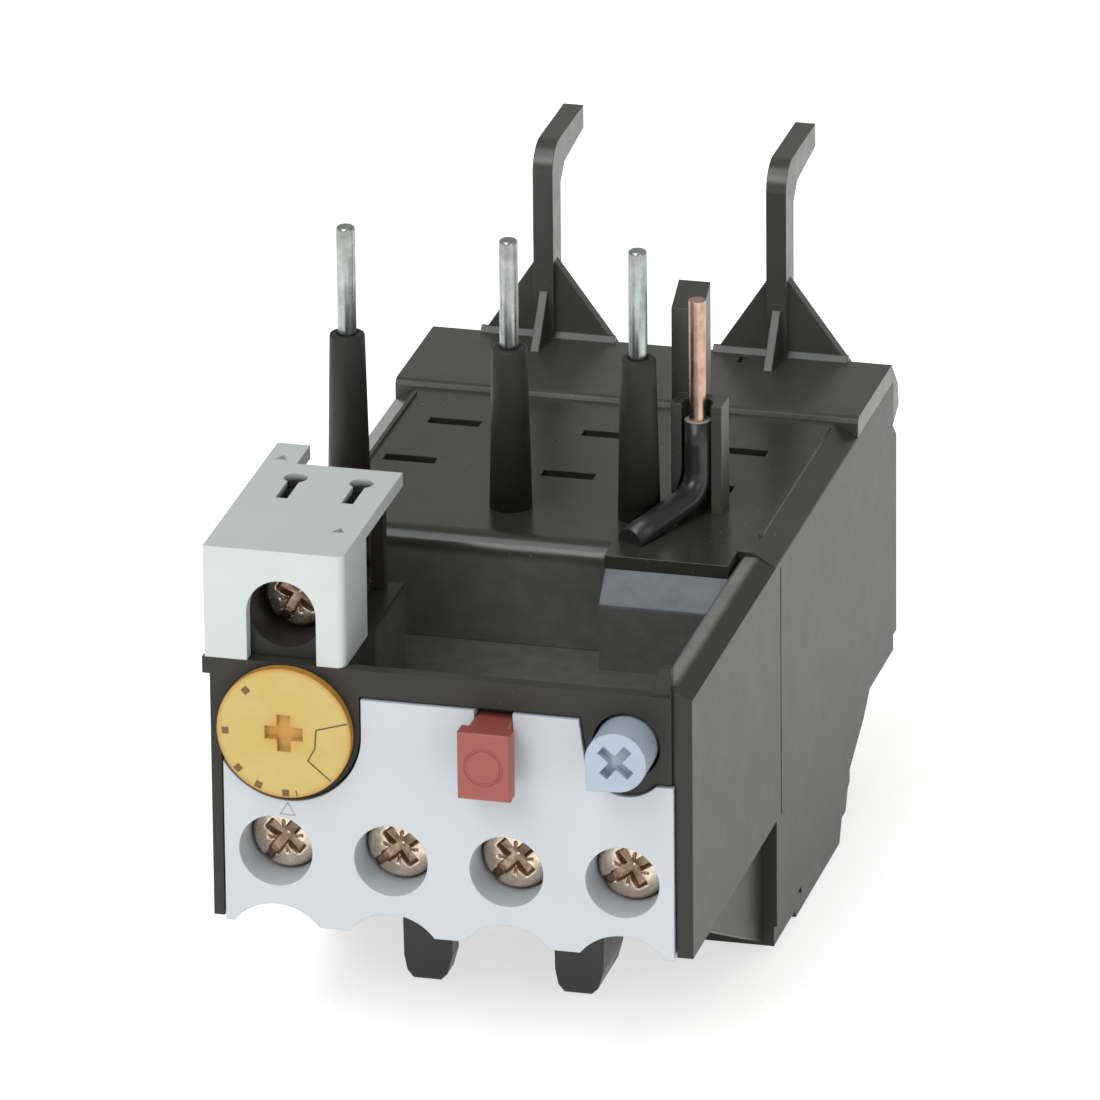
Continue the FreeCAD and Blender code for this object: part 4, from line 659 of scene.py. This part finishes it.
def stop_head(low, high):
    """Rows of the stop button's head: a ring cut into its face, eased edges, flat sides."""
    middle_x, middle_z = (low[0] + high[0]) / 2, (low[2] + high[2]) / 2
    half_x, half_z = (high[0] - low[0]) / 2, (high[2] - low[2]) / 2

    def ring(radius, sink):
        return circle(Vector((middle_x, low[1] + sink, middle_z)), X, Z, radius, STOP_SIDES)

    def frame_row(inset, sink):
        row = []
        for i in range(STOP_SIDES):
            angle = 2 * math.pi * (i + 0.5) / STOP_SIDES
            out = Vector((math.cos(angle), math.sin(angle)))
            reach = min((half_x - inset) / max(1e-6, abs(out.x)), (half_z - inset) / max(1e-6, abs(out.y)))
            corner = Vector((math.copysign(half_x, out.x), math.copysign(half_z, out.y)))
            if abs(out.angle(corner)) < math.pi / STOP_SIDES:
                inwards = Vector((math.copysign(inset, out.x), math.copysign(inset, out.y)))
                out, reach = corner - inwards, 1.0
            row.append(Vector((middle_x + out.x * reach, low[1] + sink, middle_z + out.y * reach)))
        return row

    rings = [ring(radius, sink) for radius, sink in zip(STOP_RING, (0, STOP_RING_DEPTH, STOP_RING_DEPTH, 0))]
    return rings + [frame_row(STOP_EDGE, 0), frame_row(0, STOP_EDGE), frame_row(0, STOP_THICK)]


def add_stop_button():
    """Stop button with a ring cut into its face, on a thinner stem."""
    low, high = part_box("stop_button")
    head = grid_piece("stop_head", "stop_slider", [RED], stop_head(low, high), smooth=False)
    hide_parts("stop_button")
    x = (low[0] + high[0]) / 2
    start, back, top = low[1] + STOP_THICK, high[1], high[2]
    foot = top - STEM_TALL
    outline = [(start, foot), (back, foot), (back, top - STEM_SLOPE_DROP), (back - STEM_SLOPE_LENGTH, top),
               (start, top)]
    rows = [[Vector((side, y, z)) for y, z in outline] for side in (x - STEM_HALF, x + STEM_HALF)]
    grid_piece("stop_stem", "stop_slider", [RED], rows, smooth=False)


SPRING_WIRE = 0.14 * MM
SPRING_TURNS = 6
SPRING_STEPS = 16
WIRE_SIDES = 8


def add_spring(name, node):
    """Wound coil between a plunger and the wall behind it."""
    low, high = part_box(node)
    centre = middle(node)
    coil = (high[0] - low[0]) / 2 - SPRING_WIRE
    start, end = low[1] + SPRING_WIRE, high[1] - SPRING_WIRE
    steps = SPRING_TURNS * SPRING_STEPS
    rows = []
    for k in range(steps + 1):
        angle = 2 * math.pi * k / SPRING_STEPS
        share = k / steps
        out = Vector((math.cos(angle), 0, math.sin(angle)))
        place = Vector((centre.x, start + (end - start) * share, centre.z)) + out * coil
        rows.append(circle(place, out, Y, SPRING_WIRE, WIRE_SIDES))
    piece = grid_piece(name, "housing", [WIRE], rows)
    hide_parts(node)
    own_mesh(piece)


dial_marks()
plate_pointer()
add_pins()
add_lead()
add_lead_end()
for number, degrees in enumerate((52, 38, 44, 31), 1):
    add_screw(number, "terminal_screw_%d" % number, "screw_%d" % number, degrees)
add_screw("aux", "aux_screw", "screw_aux", 60)
add_stop_button()
add_spring("stop_coil", "stop_spring")
add_spring("reset_coil", "reset_spring")


# ---------------------------------------------------------------- floor, light and camera


FLOOR_LEVEL = -0.0002
FLOOR_HALF = 6.0


def add_floor():
    mesh = bmesh.new()
    mesh.faces.new([mesh.verts.new((x, y, FLOOR_LEVEL)) for x, y in square(FLOOR_HALF)])
    floor = placed(mesh, "floor", [floor_material()])


LIGHT_AIM = 0, 0, 0.03


def add_light(name, place, size, power, colour=(1.0, 1.0, 1.0)):
    data = bpy.data.lights.new(name, "AREA")
    data.shape = "RECTANGLE"
    data.size, data.size_y = size, size
    data.energy = power
    data.color = colour
    light = bpy.data.objects.new(name, data)
    light.location = place
    light.rotation_euler = (Vector(LIGHT_AIM) - Vector(place)).to_track_quat("-Z", "Y").to_euler()
    bpy.context.scene.collection.objects.link(light)


def add_world():
    world = bpy.data.worlds.new("studio")
    bpy.context.scene.world = world
    world.use_nodes = True
    background = world.node_tree.nodes["Background"]
    background.inputs["Color"].default_value = (1.0, 0.99, 0.96, 1.0)
    background.inputs["Strength"].default_value = 0.42


CAMERA_TURN = 14.54, 22.22, -0.56
CAMERA_TARGET = Vector((0, -8.0, 28.5)) * MM
CAMERA_SHIFT = -0.44, 7.23
CAMERA_DISTANCE = 1.2945
FOCAL_PIXELS = 13932
PICTURE_PIXELS = 1100
SENSOR = 36.0


def add_camera():
    """Camera at the photograph's view; its turn is yaw, pitch and roll in degrees."""
    yaw, pitch, roll = (math.radians(angle) for angle in CAMERA_TURN)
    right = Vector((math.cos(yaw), math.sin(yaw), 0))
    back = Vector((math.sin(yaw) * math.cos(pitch), -math.cos(yaw) * math.cos(pitch), math.sin(pitch)))
    up = back.cross(right)
    across = right * math.cos(roll) + up * math.sin(roll)
    upward = up * math.cos(roll) - right * math.sin(roll)
    offset = (across * CAMERA_SHIFT[0] + upward * CAMERA_SHIFT[1]) * MM
    data = bpy.data.cameras.new("camera")
    data.sensor_width = SENSOR
    data.lens = FOCAL_PIXELS / PICTURE_PIXELS * SENSOR
    data.clip_end = 20.0
    camera = bpy.data.objects.new("camera", data)
    turn = Matrix((across, upward, back)).transposed().to_4x4()
    camera.matrix_world = Matrix.Translation(CAMERA_TARGET + back * CAMERA_DISTANCE + offset) @ turn
    bpy.context.scene.collection.objects.link(camera)
    bpy.context.scene.camera = camera


add_floor()
add_world()
add_camera()
add_light("key", (-0.3, -1.15, 0.95), 0.6, 6.0)
add_light("fill", (0.9, -0.8, 0.5), 0.6, 1.6)
add_light("top", (-0.28, -0.45, 1.08), 0.7, 4.5, (0.9, 0.96, 1.0))
bpy.context.scene.view_settings.view_transform = "Standard"
